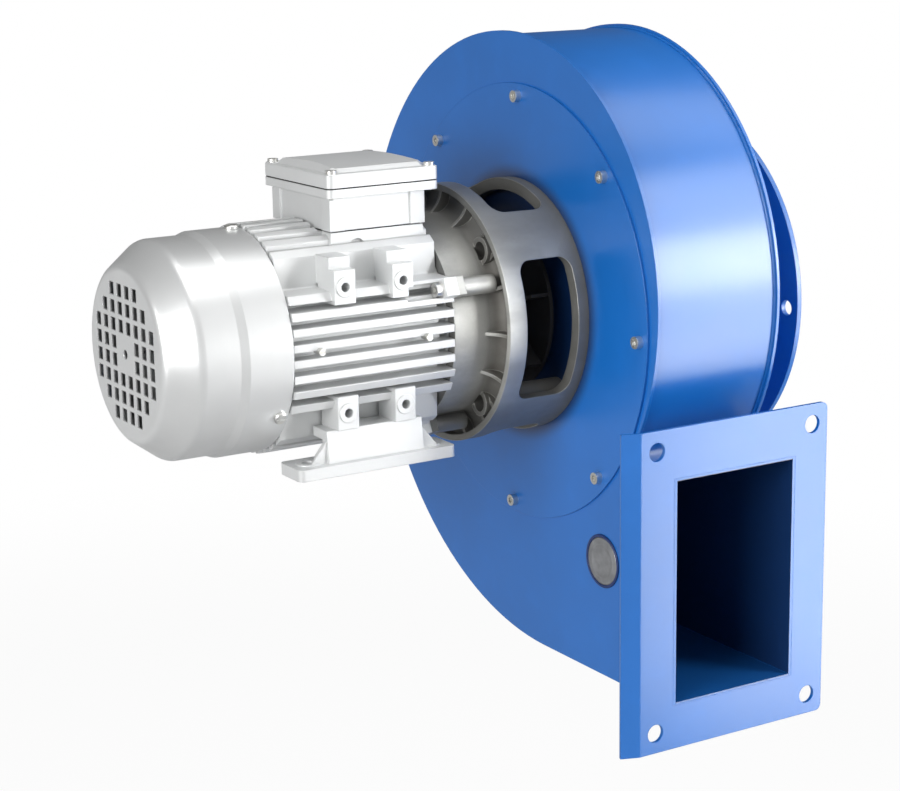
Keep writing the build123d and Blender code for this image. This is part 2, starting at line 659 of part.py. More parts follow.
def terminal_lid():
    """Rim, and a raised crowned panel with leaning sides whose corners are cut back for the screws."""
    rim = put(0, 0, LID_BOTTOM, extrude(lid_outline(), LID_RIM_HEIGHT))
    rim = chamfer(rim.faces().sort_by(Axis.Z)[-1].edges(), LID_EDGE_CHAMFER)
    width = LID_SIZE[0] - 2 * LID_PANEL_INSET
    depth = LID_SIZE[1] - 2 * LID_PANEL_INSET
    outline = chamfer(Rectangle(width, depth).vertices(), LID_CORNER_CUT - LID_PANEL_INSET)
    panel = put(LID_MID_X, 0, LID_TOP - 0.5, extrude(outline, LID_PANEL_HEIGHT + 1.5, taper=LID_PANEL_TAPER))
    crown_z = LID_TOP + LID_PANEL_HEIGHT - LID_CROWN_R
    crown = put(LID_MID_X, 0, crown_z, Rot(0, 90, 0) * Cylinder(LID_CROWN_R, 2 * width))
    body = rim + (panel & crown)
    cavity = put(0, 0, LID_BOTTOM - 1, extrude(box_outline(BOX_WALL), LID_CAVITY_HEIGHT + 1))
    body -= cavity
    for x, y in lid_screw_places():
        body -= put(x, y, LID_BOTTOM, Cylinder(LID_SCREW_R + SCREW_CLEARANCE, 4 * LID_RIM_HEIGHT))
    return body


def lid_screws():
    screws = []
    length = LID_RIM_HEIGHT + GASKET_THICKNESS + LID_SCREW_REACH - 1
    for x, y in lid_screw_places():
        shank = put(0, 0, -length / 2, Cylinder(LID_SCREW_R, length))
        head = put(0, 0, 1.2, Cylinder(2 * LID_SCREW_R, 2.4))
        slot = put(0, 0, 2.4, Box(5 * LID_SCREW_R, 0.9, 1.6))
        screws.append(put(x, y, LID_TOP, shank + head - slot))
    return screws


def board_z():
    return BOX_BOTTOM + BOX_WALL + BOARD_SIZE[2] / 2


def board_x():
    return BOX_MID_X + LEAD_HOLE_R + 0.5 + BOARD_SIZE[0] / 2


def stud_places():
    return [(board_x() + way * BOARD_STUD_PITCH / 2, row * BOARD_STUD_PITCH)
            for way in (-1, 1) for row in (-1, 0, 1)]


def terminal_board():
    body = put(board_x(), 0, board_z(), Box(*BOARD_SIZE))
    for x, y in stud_places():
        body -= put(x, y, board_z(), Cylinder(BOARD_STUD_R + THREAD, BOARD_SIZE[2] + 2))
    return body


def terminal_studs():
    """Threaded brass studs, each with its nut on the board."""
    studs = []
    top = board_z() + BOARD_SIZE[2] / 2
    for x, y in stud_places():
        length = BOARD_SIZE[2] - 1 + BOARD_STUD_PROUD
        stud = put(x, y, top + BOARD_STUD_PROUD - length / 2, Cylinder(BOARD_STUD_R, length))
        nut = put(x, y, top, extrude(RegularPolygon(4.0, 6), 3.2))
        studs.append(stud + nut)
    return studs


def entry_fitting(x, *profile):
    """A turned fitting in the box's hidden side; the profile runs outwards from the inside of the wall."""
    return put(x, BOX_HALF_Y, ENTRY_Z, Rot(0, 0, 90) * turned((-BOX_WALL, 0), (-BOX_WALL, ENTRY_R), *profile))


def cable_gland():
    nose = GLAND_HEX + GLAND_NOSE
    body = entry_fitting(GLAND_X, (0, ENTRY_R), (0, ENTRY_R + 1), (nose - 4, ENTRY_R + 1), (nose, ENTRY_R - 2), (nose, 0))
    nut = Rot(30, 0, 0) * hex_bar(0, GLAND_HEX, GLAND_FLATS)
    body += put(GLAND_X, BOX_HALF_Y, ENTRY_Z, Rot(0, 0, 90) * nut)
    return body - put(GLAND_X, BOX_HALF_Y, ENTRY_Z, Rot(90, 0, 0) * Cylinder(GLAND_BORE_R, 3 * nose))


def blanking_plug():
    head = PLUG_HEAD_R
    body = entry_fitting(PLUG_X, (0, ENTRY_R), (0, head), (PLUG_HEAD - 1, head), (PLUG_HEAD, head - 1), (PLUG_HEAD, 0))
    return body - put(PLUG_X, BOX_HALF_Y + PLUG_HEAD, ENTRY_Z, Box(head, 3.0, 1.6))


def rear_end_shield():
    """Bearing shield at the fan end, with three lugs that take the radial screws of the fan cover."""
    bore = BEARING_OUTER_R + SEAT
    bearing_back = REAR_BEARING_X - BEARING_LENGTH - WASHER_THICKNESS
    outer_r = FRAME_BORE_R + 10
    profile = [(FRAME_REAR + SHIELD_SPIGOT, FRAME_BORE_R - 5), (FRAME_REAR + SHIELD_SPIGOT, FRAME_BORE_R - WELD),
               (FRAME_REAR, FRAME_BORE_R - WELD), (FRAME_REAR, outer_r), (FRAME_REAR - 6, outer_r),
               (REAR_FACE, outer_r - 8), (REAR_FACE, HUB_R), (bearing_back - 4, HUB_R - 3),
               (bearing_back - 4, SHAFT_BEARING_R + 3), (bearing_back, SHAFT_BEARING_R + 3),
               (bearing_back, bore), (REAR_BEARING_X + 1, bore), (REAR_BEARING_X + 1, HUB_R),
               (FRAME_REAR - 5, HUB_R), (FRAME_REAR - 5, FRAME_BORE_R - 8), (FRAME_REAR, FRAME_BORE_R - 5)]
    body = turned(*profile)
    inside = FAN_COVER_R - FAN_COVER_WALL
    half = COVER_LUG_WIDTH / 2
    lug = block(REAR_FACE, FRAME_REAR, -half, half, outer_r - 10, inside + 2)
    reach = block(FRAME_REAR - 1, FAN_COVER_RIM_X - 1, -half, half, FRAME_CORE_R + 0.5, inside + 2)
    lugs = union(around(FAN_COVER_SCREW_ANGLES, 0, lug + reach)) & bar(REAR_FACE - 1, FRAME_FRONT, inside - WELD)
    body += lugs
    for angle in FAN_COVER_SCREW_ANGLES:
        hole = put(FAN_COVER_SCREW_X, 0, inside, Cylinder(FAN_COVER_SCREW_R + THREAD, 2 * FAN_COVER_SCREW_REACH))
        body -= Rot(angle, 0, 0) * hole
    through = bar(REAR_FACE - 1, FRAME_REAR + 1, REAR_SCREW_R + SCREW_CLEARANCE)
    seat = bar(REAR_FACE - 1, FRAME_REAR - 6, 2 * REAR_SCREW_R)
    for cut in around(even_angles(REAR_SCREW_COUNT, 45), REAR_SCREW_CIRCLE_R, through + seat):
        body -= cut
    return body


def fan_cover():
    """Pressed cover: flat grille, cone, cylinder, a step outwards and the wide rim."""
    small = FAN_COVER_R - FAN_COVER_STEP
    wall = FAN_COVER_WALL
    outside = [(FAN_COVER_FACE_X, 0), (FAN_COVER_FACE_X, FAN_COVER_FACE_R), (FAN_COVER_CONE_X, small),
               (FAN_COVER_STEP_X[0], small), (FAN_COVER_STEP_X[1], FAN_COVER_R), (FAN_COVER_RIM_X, FAN_COVER_R)]
    inside = [(FAN_COVER_RIM_X, FAN_COVER_R - wall), (FAN_COVER_STEP_X[1], FAN_COVER_R - wall),
              (FAN_COVER_STEP_X[0], small - wall), (FAN_COVER_CONE_X + wall / 2, small - wall),
              (FAN_COVER_FACE_X + wall, FAN_COVER_FACE_R - wall / 2), (FAN_COVER_FACE_X + wall, 0)]
    body = turned(*outside, *inside)
    body = round_rings(body, FAN_COVER_FACE_EDGE_R, outside[1])
    body = round_rings(body, FAN_COVER_FACE_EDGE_R - wall, inside[4])
    body = round_rings(body, FAN_COVER_CONE_EDGE_R, outside[2])
    body = round_rings(body, FAN_COVER_CONE_EDGE_R - wall, inside[3])
    slots = []
    middle = (len(GRILLE_ROWS) - 1) / 2
    for row, count in enumerate(GRILLE_ROWS):
        z = (middle - row) * GRILLE_PITCH_Z
        for column in range(count):
            y = (column - (count - 1) / 2) * GRILLE_PITCH_Y
            if hypot(y, z) > GRILLE_HUB_R:
                slots.append(put(FAN_COVER_FACE_X, y, z, Box(4 * wall, GRILLE_SLOT_Y, GRILLE_SLOT_Z)))
    body -= slots
    body -= bar(FAN_COVER_FACE_X - 1, FAN_COVER_FACE_X + 4, GRILLE_HOLE_R)
    for angle in FAN_COVER_SCREW_ANGLES:
        hole = put(FAN_COVER_SCREW_X, 0, FAN_COVER_R, Cylinder(FAN_COVER_SCREW_R + SCREW_CLEARANCE, 12))
        body -= Rot(angle, 0, 0) * hole
    return body


def fan_cover_screws():
    length = FAN_COVER_SCREW_REACH - 1
    shank = put(0, 0, -length / 2, Cylinder(FAN_COVER_SCREW_R, length))
    head = put(0, 0, 1.5, Cylinder(2 * FAN_COVER_SCREW_R, 3.0))
    head = fillet(head.edges().sort_by(Axis.Z)[-1], 1.6)
    slot = put(0, 0, 3.0, Box(3.6 * FAN_COVER_SCREW_R, 1.0, 1.6))
    screw = put(FAN_COVER_SCREW_X, 0, 0, shank + head - slot)
    return around(FAN_COVER_SCREW_ANGLES, FAN_COVER_R, screw)


def rear_screws():
    screw = socket_screw(FRAME_REAR - 6, 2 * REAR_SCREW_R - 0.4, 4.5, REAR_SCREW_R, 6 + REAR_SCREW_REACH - 1)
    return around(even_angles(REAR_SCREW_COUNT, 45), REAR_SCREW_CIRCLE_R, screw)


def frame_screws():
    seat = FRAME_FRONT - FRAME_LUG_LENGTH
    screw = socket_screw(seat, FRAME_SCREW_HEAD_R, FRAME_SCREW_HEAD, FRAME_SCREW_R,
                         FRAME_LUG_LENGTH + FRAME_SCREW_REACH - 1)
    return around(FRAME_SCREW_ANGLES, FRAME_SCREW_CIRCLE_R, screw)


def motor_shaft():
    rear_seat = REAR_BEARING_X - BEARING_LENGTH
    front_seat = FRONT_BEARING_X + BEARING_LENGTH
    steps = [(FAN_X[0] - SHAFT_TAIL, SHAFT_FAN_R), (rear_seat - 5, SHAFT_BEARING_R), (REAR_BEARING_X, SHAFT_SHOULDER_R),
             (STATOR_X[0] - 12, SHAFT_CORE_R), (STATOR_X[1] + 12, SHAFT_SHOULDER_R),
             (FRONT_BEARING_X, SHAFT_BEARING_R), (front_seat + 0.5, SHAFT_DRIVE_R), (HUB_START, SHAFT_SEAT_R)]
    ends = [x for x, radius in steps[1:]] + [SHAFT_END]
    profile = [(steps[0][0], 0)]
    for (x, radius), end in zip(steps, ends):
        profile += [(x, radius), (end, radius)]
    profile.append((SHAFT_END, 0))
    body = turned(*profile)
    groove_x = FAN_X[0] - CIRCLIP_THICKNESS
    body -= bar(groove_x, FAN_X[0], SHAFT_FAN_R + 5, SHAFT_FAN_R - 1)
    key_x = key_start()
    body -= block(key_x, key_x + KEY_LENGTH, -KEY_WIDTH / 2, KEY_WIDTH / 2,
                  SHAFT_SEAT_R - KEY_IN_SHAFT, SHAFT_SEAT_R + 5)
    body -= bar(SHAFT_END - END_BOLT_REACH, SHAFT_END + 1, END_BOLT_R + THREAD)
    return body


def key_start():
    return HUB_START + (HUB_LENGTH - KEY_LENGTH) / 2


def impeller_key():
    low = SHAFT_SEAT_R - KEY_IN_SHAFT
    return block(key_start(), key_start() + KEY_LENGTH, -KEY_WIDTH / 2 + SEAT, KEY_WIDTH / 2 - SEAT,
                 low, low + KEY_HEIGHT)


def bearing_outer(x):
    shield = bar(x + 0.8, x + 1.3, BEARING_OUTER_RING_R + 0.5, BEARING_INNER_RING_R + RUNNING)
    other = bar(x + BEARING_LENGTH - 1.3, x + BEARING_LENGTH - 0.8, BEARING_OUTER_RING_R + 0.5,
                BEARING_INNER_RING_R + RUNNING)
    return bar(x, x + BEARING_LENGTH, BEARING_OUTER_R, BEARING_OUTER_RING_R) + shield + other


def bearing_inner(x):
    return bar(x, x + BEARING_LENGTH, BEARING_INNER_RING_R, SHAFT_BEARING_R + SEAT)


def preload_washer():
    x = REAR_BEARING_X - BEARING_LENGTH
    return bar(x - WASHER_THICKNESS, x, BEARING_OUTER_R - 0.3, BEARING_OUTER_RING_R)


def stator_core():
    return bar(STATOR_X[0], STATOR_X[1], FRAME_BORE_R - WELD, ROTOR_R + AIR_GAP)


def stator_windings():
    """The rounded end turns on both faces of the core."""
    middle = sum(WINDING_R) / 2
    turn = Pos(WINDING_LENGTH / 2, middle) * RectangleRounded(WINDING_LENGTH, WINDING_R[1] - WINDING_R[0], 6.0)
    front = revolve(Pos(STATOR_X[1], 0) * turn, Axis.X)
    rear = revolve(Pos(STATOR_X[0] - WINDING_LENGTH, 0) * turn, Axis.X)
    return [front, rear]


def rotor_core():
    ring = ROTOR_RING_LENGTH
    profile = [(STATOR_X[0] - ring, SHAFT_CORE_R + SEAT), (STATOR_X[0] - ring, ROTOR_RING_R),
               (STATOR_X[0], ROTOR_RING_R), (STATOR_X[0], ROTOR_R), (STATOR_X[1], ROTOR_R),
               (STATOR_X[1], ROTOR_RING_R), (STATOR_X[1] + ring, ROTOR_RING_R),
               (STATOR_X[1] + ring, SHAFT_CORE_R + SEAT)]
    return turned(*profile)


def cooling_fan():
    """Radial fan of the motor: hub, flat disc towards the motor and straight blades."""
    disc = bar(FAN_X[1] - FAN_DISC_THICKNESS, FAN_X[1], FAN_R)
    hub = bar(FAN_X[0], FAN_X[1], FAN_HUB_R)
    corner = Polyline((FAN_X[0] + 6, FAN_HUB_R - 2), (FAN_X[1] - 1, FAN_HUB_R - 2), (FAN_X[1] - 1, FAN_R - 1),
                      (FAN_X[0] + 8, FAN_R - 1), close=True)
    blade = extrude(Plane.XZ * make_face(corner), FAN_BLADE_THICKNESS / 2, both=True)
    body = disc + hub
    for angle in even_angles(FAN_BLADES):
        body += Rot(angle, 0, 0) * blade
    return body - bar(FAN_X[0] - 1, FAN_X[1] + 1, SHAFT_FAN_R + SEAT)


def fan_circlip():
    outer = SHAFT_FAN_R - 1 + CIRCLIP_WIDTH
    x = FAN_X[0] - CIRCLIP_THICKNESS
    ring = bar(x + 0.05, x + CIRCLIP_THICKNESS - 0.05, outer, SHAFT_FAN_R - 1 + SEAT)
    return ring - block(x - 1, x + 3, -2.5, 2.5, 0, outer + 2)


def lantern():
    """The cast end shield and spacer: bearing hub, barrel, ribbed web, rim and the drum with its windows."""
    drum_r = LANTERN_R - LANTERN_WALL
    hub_front = FRONT_BEARING_X + BEARING_LENGTH
    seal_end = hub_front + SEAL_LENGTH
    inner_r = BARREL_R - BARREL_WALL
    profile = [(FRAME_FRONT - SHIELD_SPIGOT, FRAME_BORE_R - 5), (FRAME_FRONT - SHIELD_SPIGOT, FRAME_BORE_R - WELD),
               (FRAME_FRONT, FRAME_BORE_R - WELD), (FRAME_FRONT, BARREL_R), (WEB_X[0], BARREL_R),
               (WEB_X[0], LANTERN_R - RIM_WALL), (LANTERN_RIM_X, LANTERN_R - RIM_WALL), (LANTERN_RIM_X, LANTERN_R),
               (LANTERN_FRONT, LANTERN_R - LANTERN_DRAFT), (LANTERN_FRONT, drum_r), (WEB_X[1], drum_r),
               (WEB_X[1], inner_r), (HUB_WEB_X[1], inner_r - 6), (HUB_WEB_X[1], HUB_R),
               (seal_end, HUB_R - HUB_NOSE), (seal_end, SEAL_R), (hub_front, SEAL_R),
               (hub_front, BEARING_OUTER_R + SEAT), (FRONT_BEARING_X - 1, BEARING_OUTER_R + SEAT),
               (FRONT_BEARING_X - 1, HUB_R), (HUB_WEB_X[0], HUB_R), (HUB_WEB_X[0], FRAME_BORE_R - 10),
               (FRAME_FRONT, FRAME_BORE_R - 5)]
    body = round_rings(turned(*profile), BARREL_FLARE_R, (WEB_X[0], BARREL_R))
    window = extrude(RectangleRounded(WINDOW_X[1] - WINDOW_X[0], WINDOW_WIDTH, WINDOW_CORNER_R), LANTERN_R)
    window = put((WINDOW_X[0] + WINDOW_X[1]) / 2, 0, drum_r * cos(radians(45)), window)
    for angle in even_angles(WINDOW_COUNT, LANTERN_PHASE):
        body -= Rot(angle, 0, 0) * window
    body += lantern_pillars(drum_r)
    body += lantern_ribs()
    shield_lug = FRAME_FRONT + SHIELD_LUG_LENGTH
    for angle in FRAME_SCREW_ANGLES:
        body += Rot(angle, 0, 0) * screw_lug(FRAME_FRONT, shield_lug)
    for boss in around(FRAME_SCREW_ANGLES, FRAME_SCREW_CIRCLE_R, bar(shield_lug, SCREW_BOSS_END, SCREW_BOSS_R)):
        body += boss
    bore = bar(PILLAR_FACE_X - 1, PILLAR_SEAT_X, PILLAR_BORE_R)
    bore += bar(PILLAR_FACE_X, LANTERN_FRONT + 1, LANTERN_SCREW_R + SCREW_CLEARANCE)
    for cut in around(lantern_screw_angles(), PILLAR_CIRCLE_R, bore):
        body -= cut
    thread = bar(FRAME_FRONT - 1, FRAME_FRONT + FRAME_SCREW_REACH, FRAME_SCREW_R + THREAD)
    for cut in around(FRAME_SCREW_ANGLES, FRAME_SCREW_CIRCLE_R, thread):
        body -= cut
    return body


def lantern_pillars(drum_r):
    """Pillars for the long screws: inside the drum, and as a ring with two cheeks on the web's motor side."""
    inside_drum = bar(WEB_X[0], LANTERN_FRONT, drum_r + 1)
    pillar = bar(WEB_X[0], LANTERN_FRONT, PILLAR_R)
    ring = bar(PILLAR_FACE_X, WEB_X[0] + 1, PILLAR_R)
    cheek_x = PILLAR_FACE_X + PILLAR_CHEEK_SETBACK
    reach = LANTERN_R - RIM_WALL + 1 - PILLAR_CIRCLE_R
    for side in (-1, 1):
        y = side * (PILLAR_R - RIB_THICKNESS / 2)
        ring += block(cheek_x, WEB_X[0] + 1, y - RIB_THICKNESS / 2, y + RIB_THICKNESS / 2, 0, reach)
    angles = lantern_screw_angles()
    return union([shape & inside_drum for shape in around(angles, PILLAR_CIRCLE_R, pillar)]
                 + around(angles, PILLAR_CIRCLE_R, ring))


def lantern_ribs():
    """Thin radial ribs on the motor side of the web, hollow along their free edge; the pillars take some places."""
    root = (RIB_START_X, BARREL_R - 3)
    tip = (LANTERN_RIM_X + 0.5, LANTERN_R - 2)
    run = (tip[0] - root[0], tip[1] - root[1])
    sag = RIB_SAG / hypot(*run)
    middle = ((root[0] + tip[0]) / 2 + run[1] * sag, (root[1] + tip[1]) / 2 - run[0] * sag)
    back = WEB_X[0] + 1
    edges = [ThreePointArc(root, middle, tip), Polyline(tip, (back, tip[1]), (back, root[1]), root)]
    rib = extrude(Plane.XZ * make_face(Curve() + edges), RIB_THICKNESS / 2, both=True)
    step = 360 / RIB_COUNT
    angles = [angle for angle in even_angles(RIB_COUNT) if (angle + 45) % 90 > step / 2]
    return union([Rot(angle + LANTERN_PHASE, 0, 0) * rib for angle in angles])


def lantern_screw_angles():
    return even_angles(WINDOW_COUNT, LANTERN_PHASE + 180 / WINDOW_COUNT)


def lantern_screws():
    length = COVER_BACK - PILLAR_SEAT_X + 8.5
    screw = socket_screw(PILLAR_SEAT_X, LANTERN_SCREW_HEAD_R, LANTERN_SCREW_HEAD, LANTERN_SCREW_R, length)
    return around(lantern_screw_angles(), PILLAR_CIRCLE_R, screw)


def hex_nut(x, height, thread_r):
    return hex_bar(x, x + height, 3.25 * thread_r) - bar(x - 1, x + height + 1, thread_r + THREAD)


def lantern_nuts():
    return around(lantern_screw_angles(), PILLAR_CIRCLE_R, hex_nut(COVER_BACK, 6.5, LANTERN_SCREW_R))


def drive_seal():
    """Lip seal beside the front bearing; its lip runs on the shaft."""
    x0 = FRONT_BEARING_X + BEARING_LENGTH + 1.0
    x1 = x0 + SEAL_LENGTH - 1.5
    lip = SHAFT_DRIVE_R + RUNNING
    profile = [(x0, SEAL_R - SEAT), (x1, SEAL_R - SEAT), (x1, lip + 2.5), (x1 - 2.5, lip), (x1 - 3.5, lip),
               (x1 - 2.5, lip + 3.5), (x1 - 2.0, SEAL_R - 2), (x0, SEAL_R - 2)]
    return turned(*profile)


def cooling_disc():
    """Disc with straight vanes towards the motor, on a hub held by a set screw."""
    hub_start = DISC_X[1] - DISC_HUB_LENGTH
    body = bar(DISC_X[0], DISC_X[1], DISC_R) + bar(hub_start, DISC_X[1], DISC_HUB_R)
    corner = Polyline((DISC_X[0] + 1, DISC_HUB_R - 2), (DISC_X[0] + 1, DISC_R - 0.5),
                      (DISC_X[0] - DISC_VANE_HEIGHT, DISC_R - 0.5), (DISC_X[0] - DISC_VANE_HEIGHT * 0.6, DISC_HUB_R - 2),
                      close=True)
    vane = extrude(Plane.XZ * make_face(corner), DISC_VANE_THICKNESS / 2, both=True)
    for angle in even_angles(DISC_VANES, DISC_VANE_PHASE):
        body += Rot(angle, 0, 0) * vane
    body -= bar(hub_start - 1, DISC_X[1] + 1, SHAFT_DRIVE_R + SEAT)
    hole = put(disc_screw_x(), 0, DISC_HUB_R / 2, Cylinder(DISC_SCREW_R + THREAD, DISC_HUB_R + 6))
    return body - Rot(disc_screw_angle(), 0, 0) * hole


def disc_screw_x():
    return DISC_X[1] - DISC_HUB_LENGTH + 5.0


def disc_screw_angle():
    return DISC_VANE_PHASE + 180 / DISC_VANES


def disc_screw():
    low = SHAFT_DRIVE_R + 0.05
    screw = put(disc_screw_x(), 0, (low + DISC_HUB_R) / 2, Cylinder(DISC_SCREW_R, DISC_HUB_R - low))
    socket = put(disc_screw_x(), 0, DISC_HUB_R - 2, extrude(RegularPolygon(1.7, 6), 3))
    return Rot(disc_screw_angle(), 0, 0) * (screw - socket)


def seal_retainer():
    """Turned cup on the cover plate that holds the felt ring round the shaft."""
    face = LANTERN_FRONT
    boss = face - RETAINER_BOSS_LENGTH
    lip = SHAFT_DRIVE_R + 1.0
    profile = [(face, FELT_R), (face, RETAINER_R), (face - RETAINER_FLANGE, RETAINER_R),
               (face - RETAINER_FLANGE, RETAINER_BOSS_R), (boss, RETAINER_BOSS_R - 1), (boss, lip),
               (boss + RETAINER_LIP, lip), (boss + RETAINER_LIP, FELT_R)]
    body = turned(*profile)
    hole = bar(boss - 1, face + 1, RETAINER_SCREW_R + SCREW_CLEARANCE)
    for cut in around(even_angles(RETAINER_SCREW_COUNT), RETAINER_SCREW_CIRCLE_R, hole):
        body -= cut
    return body


def shaft_seal():
    start = LANTERN_FRONT - RETAINER_BOSS_LENGTH + RETAINER_LIP
    return bar(start, LANTERN_FRONT, FELT_R - SEAT, SHAFT_DRIVE_R + RUNNING)


def seal_screws():
    screw = socket_screw(LANTERN_FRONT - RETAINER_FLANGE, SMALL_HEAD_R, SMALL_HEAD, RETAINER_SCREW_R,
                         RETAINER_FLANGE + COVER_THICKNESS)
    return around(even_angles(RETAINER_SCREW_COUNT), RETAINER_SCREW_CIRCLE_R, screw)


def cover_plate():
    body = bar(LANTERN_FRONT, COVER_BACK, COVER_R, COVER_BORE_R)
    cuts = around(lantern_screw_angles(), PILLAR_CIRCLE_R,
                  bar(LANTERN_FRONT - 1, COVER_BACK + 1, LANTERN_SCREW_R + SCREW_CLEARANCE))
    cuts += around(cover_screw_angles(), COVER_SCREW_CIRCLE_R,
                   bar(LANTERN_FRONT - 1, COVER_BACK + 1, COVER_SCREW_R + SCREW_CLEARANCE))
    cuts += around(even_angles(RETAINER_SCREW_COUNT), RETAINER_SCREW_CIRCLE_R,
                   bar(LANTERN_FRONT - 1, COVER_BACK + 1, RETAINER_SCREW_R + THREAD))
    for cut in cuts:
        body -= cut
    return body


def cover_screw_angles():
    return even_angles(COVER_SCREW_COUNT, PATTERN_PHASE)


def cover_screws():
    reach = COVER_THICKNESS + SHEET + COVER_NUT_HEIGHT + 1
    screw = socket_screw(LANTERN_FRONT, COVER_SCREW_HEAD_R, COVER_SCREW_HEAD, COVER_SCREW_R, reach)
    return around(cover_screw_angles(), COVER_SCREW_CIRCLE_R, screw)


def cover_nuts():
    return around(cover_screw_angles(), COVER_SCREW_CIRCLE_R, hex_nut(SCROLL_START, COVER_NUT_HEIGHT, COVER_SCREW_R))


def arc_point(centre, radius, angle):
    return (centre[0] + radius * cos(radians(angle)), centre[1] + radius * sin(radians(angle)))


def volute_lines(inset, end_y):
    """The open path of the volute in the (y, z) plane, from the outlet's top round to its floor.

    The three arcs lie inside the plate edge by inset. The tongue turns the first arc out to the outlet.
    """
    c1 = (VOLUTE_CENTRE_Y, VOLUTE_CENTRE_Z)
    c2 = (VOLUTE_CENTRE_Y, VOLUTE_C2_Z)
    c3 = (VOLUTE_C3_Y, VOLUTE_C2_Z)
    r1 = VOLUTE_R1 - inset
    r2 = VOLUTE_R2 - inset
    r3 = VOLUTE_R3 - inset
    tongue_r = TONGUE_R + inset
    top_z = DUCT_TOP_Z + SCROLL_SHEET + PLATE_OVERHANG - inset
    turn_z = top_z + tongue_r
    reach = sqrt((r1 + tongue_r) ** 2 - (turn_z - c1[1]) ** 2)
    turn = (c1[0] - reach, turn_z)
    start_angle = degrees(atan2(turn[1] - c1[1], turn[0] - c1[0])) % 360
    meet = arc_point(c1, r1, start_angle)
    top_angle = 90
    half = (start_angle + top_angle) / 2
    turn_mid = (degrees(atan2(meet[1] - turn[1], meet[0] - turn[0])) % 360 - 90) / 2
    floor_z = VOLUTE_BOTTOM_Z + inset
    return [
        Line((end_y, top_z), (turn[0], top_z)),
        ThreePointArc((turn[0], top_z), arc_point(turn, tongue_r, turn_mid), meet),
        ThreePointArc(meet, arc_point(c1, r1, half), (c1[0], c1[1] + r1)),
        ThreePointArc((c1[0], c1[1] + r1), arc_point(c2, r2, 45), (c2[0] + r2, c2[1])),
        ThreePointArc((c2[0] + r2, c2[1]), arc_point(c3, r3, -45), (c3[0], floor_z)),
        Line((c3[0], floor_z), (end_y, floor_z)),
    ]


def volute_face(inset, end_y=OUTLET_BACK_Y):
    """The closed region inside the volute path."""
    path = volute_lines(inset, end_y)
    floor_z = VOLUTE_BOTTOM_Z + inset
    top_z = DUCT_TOP_Z + SCROLL_SHEET + PLATE_OVERHANG - inset
    path.append(Line((end_y, floor_z), (end_y, top_z)))
    return make_face(Curve() + path)


def volute_prism(x0, x1, inset, end_y=OUTLET_BACK_Y):
    return put(x0, 0, 0, extrude(Plane.YZ * volute_face(inset, end_y), x1 - x0))


def side_plate(x0, x1):
    """A side sheet of the scroll; without its overhang it reaches through the outlet flange to its front."""
    duct = block(x0, x1, OUTLET_FACE_Y, OUTLET_BACK_Y + 1, DUCT_FLOOR_Z - SCROLL_SHEET, DUCT_TOP_Z + SCROLL_SHEET)
    return volute_prism(x0, x1, 0, OUTLET_BACK_Y + WELD) + duct


def motor_side_plate():
    body = side_plate(COVER_BACK, SCROLL_START)
    body -= bar(COVER_BACK - 1, SCROLL_START + 1, IMPELLER_OPENING_R)
    for cut in around(cover_screw_angles(), COVER_SCREW_CIRCLE_R,
                      bar(COVER_BACK - 1, SCROLL_START + 1, COVER_SCREW_R + SCREW_CLEARANCE)):
        body -= cut
    return body


def inlet_side_plate():
    body = side_plate(SCROLL_END, INLET_PLATE_FACE)
    body -= bar(SCROLL_END - 1, INLET_PLATE_FACE + 1, CONE_THROAT_R + CONE_WALL + CONE_ROLL_R)
    for cut in around(cone_screw_angles(), CONE_SCREW_CIRCLE_R,
                      bar(SCROLL_END - 1, INLET_PLATE_FACE + 1, CONE_SCREW_R + THREAD)):
        body -= cut
    return body


def scroll_wrapper():
    outer = volute_prism(SCROLL_START, SCROLL_END, PLATE_OVERHANG, OUTLET_FACE_Y)
    inner = volute_prism(SCROLL_START - 1, SCROLL_END + 1, PLATE_OVERHANG + SCROLL_SHEET, OUTLET_FACE_Y - 1)
    return outer - inner


def outlet_flange():
    """Flat flange round the end of the duct; its motor-side edge is bent back."""
    width, height = OUTLET_FLANGE_SIZE
    thick = OUTLET_FLANGE_THICKNESS
    plate = put(OUTLET_MID_X, (OUTLET_FACE_Y + OUTLET_BACK_Y) / 2, FLANGE_MID_Z, Box(width, thick, height))
    edge_x = OUTLET_MID_X - width / 2
    lean = radians(OUTLET_LIP_ANGLE)
    profile = Polyline((edge_x, OUTLET_FACE_Y), (edge_x, OUTLET_BACK_Y),
                       (edge_x - OUTLET_LIP * cos(lean) + thick * sin(lean),
                        OUTLET_FACE_Y + OUTLET_LIP * sin(lean) + thick * cos(lean)),
                       (edge_x - OUTLET_LIP * cos(lean), OUTLET_FACE_Y + OUTLET_LIP * sin(lean)), close=True)
    lip = put(0, 0, FLANGE_MID_Z - height / 2, extrude(make_face(profile), height))
    body = plate + lip
    corners = [edge for edge in body.edges().filter_by(Axis.Y) if edge.center().X > OUTLET_MID_X]
    body = fillet(corners, OUTLET_CORNER_R)
    bend = [edge for edge in body.edges().filter_by(Axis.Z)
            if abs(edge.center().X - edge_x) < 0.1 and abs(edge.center().Y - OUTLET_FACE_Y) < 0.1]
    body = fillet(bend, OUTLET_BEND_R)
    opening = Box(SCROLL_WIDTH + 2 * (SHEET + WELD), 4 * thick, OUTLET_HEIGHT + 2 * (SCROLL_SHEET + WELD))
    body -= put(OUTLET_MID_X, OUTLET_FACE_Y, OUTLET_MID_Z, opening)
    for way_x in (-1, 1):
        for way_z in (-1, 1):
            x = OUTLET_MID_X + way_x * (width / 2 - OUTLET_HOLE_EDGE[0])
            z = FLANGE_MID_Z + way_z * (height / 2 - OUTLET_HOLE_EDGE[1])
            body -= put(x, OUTLET_FACE_Y, z, Rot(90, 0, 0) * Cylinder(OUTLET_HOLE_R, 4 * thick))
    return body


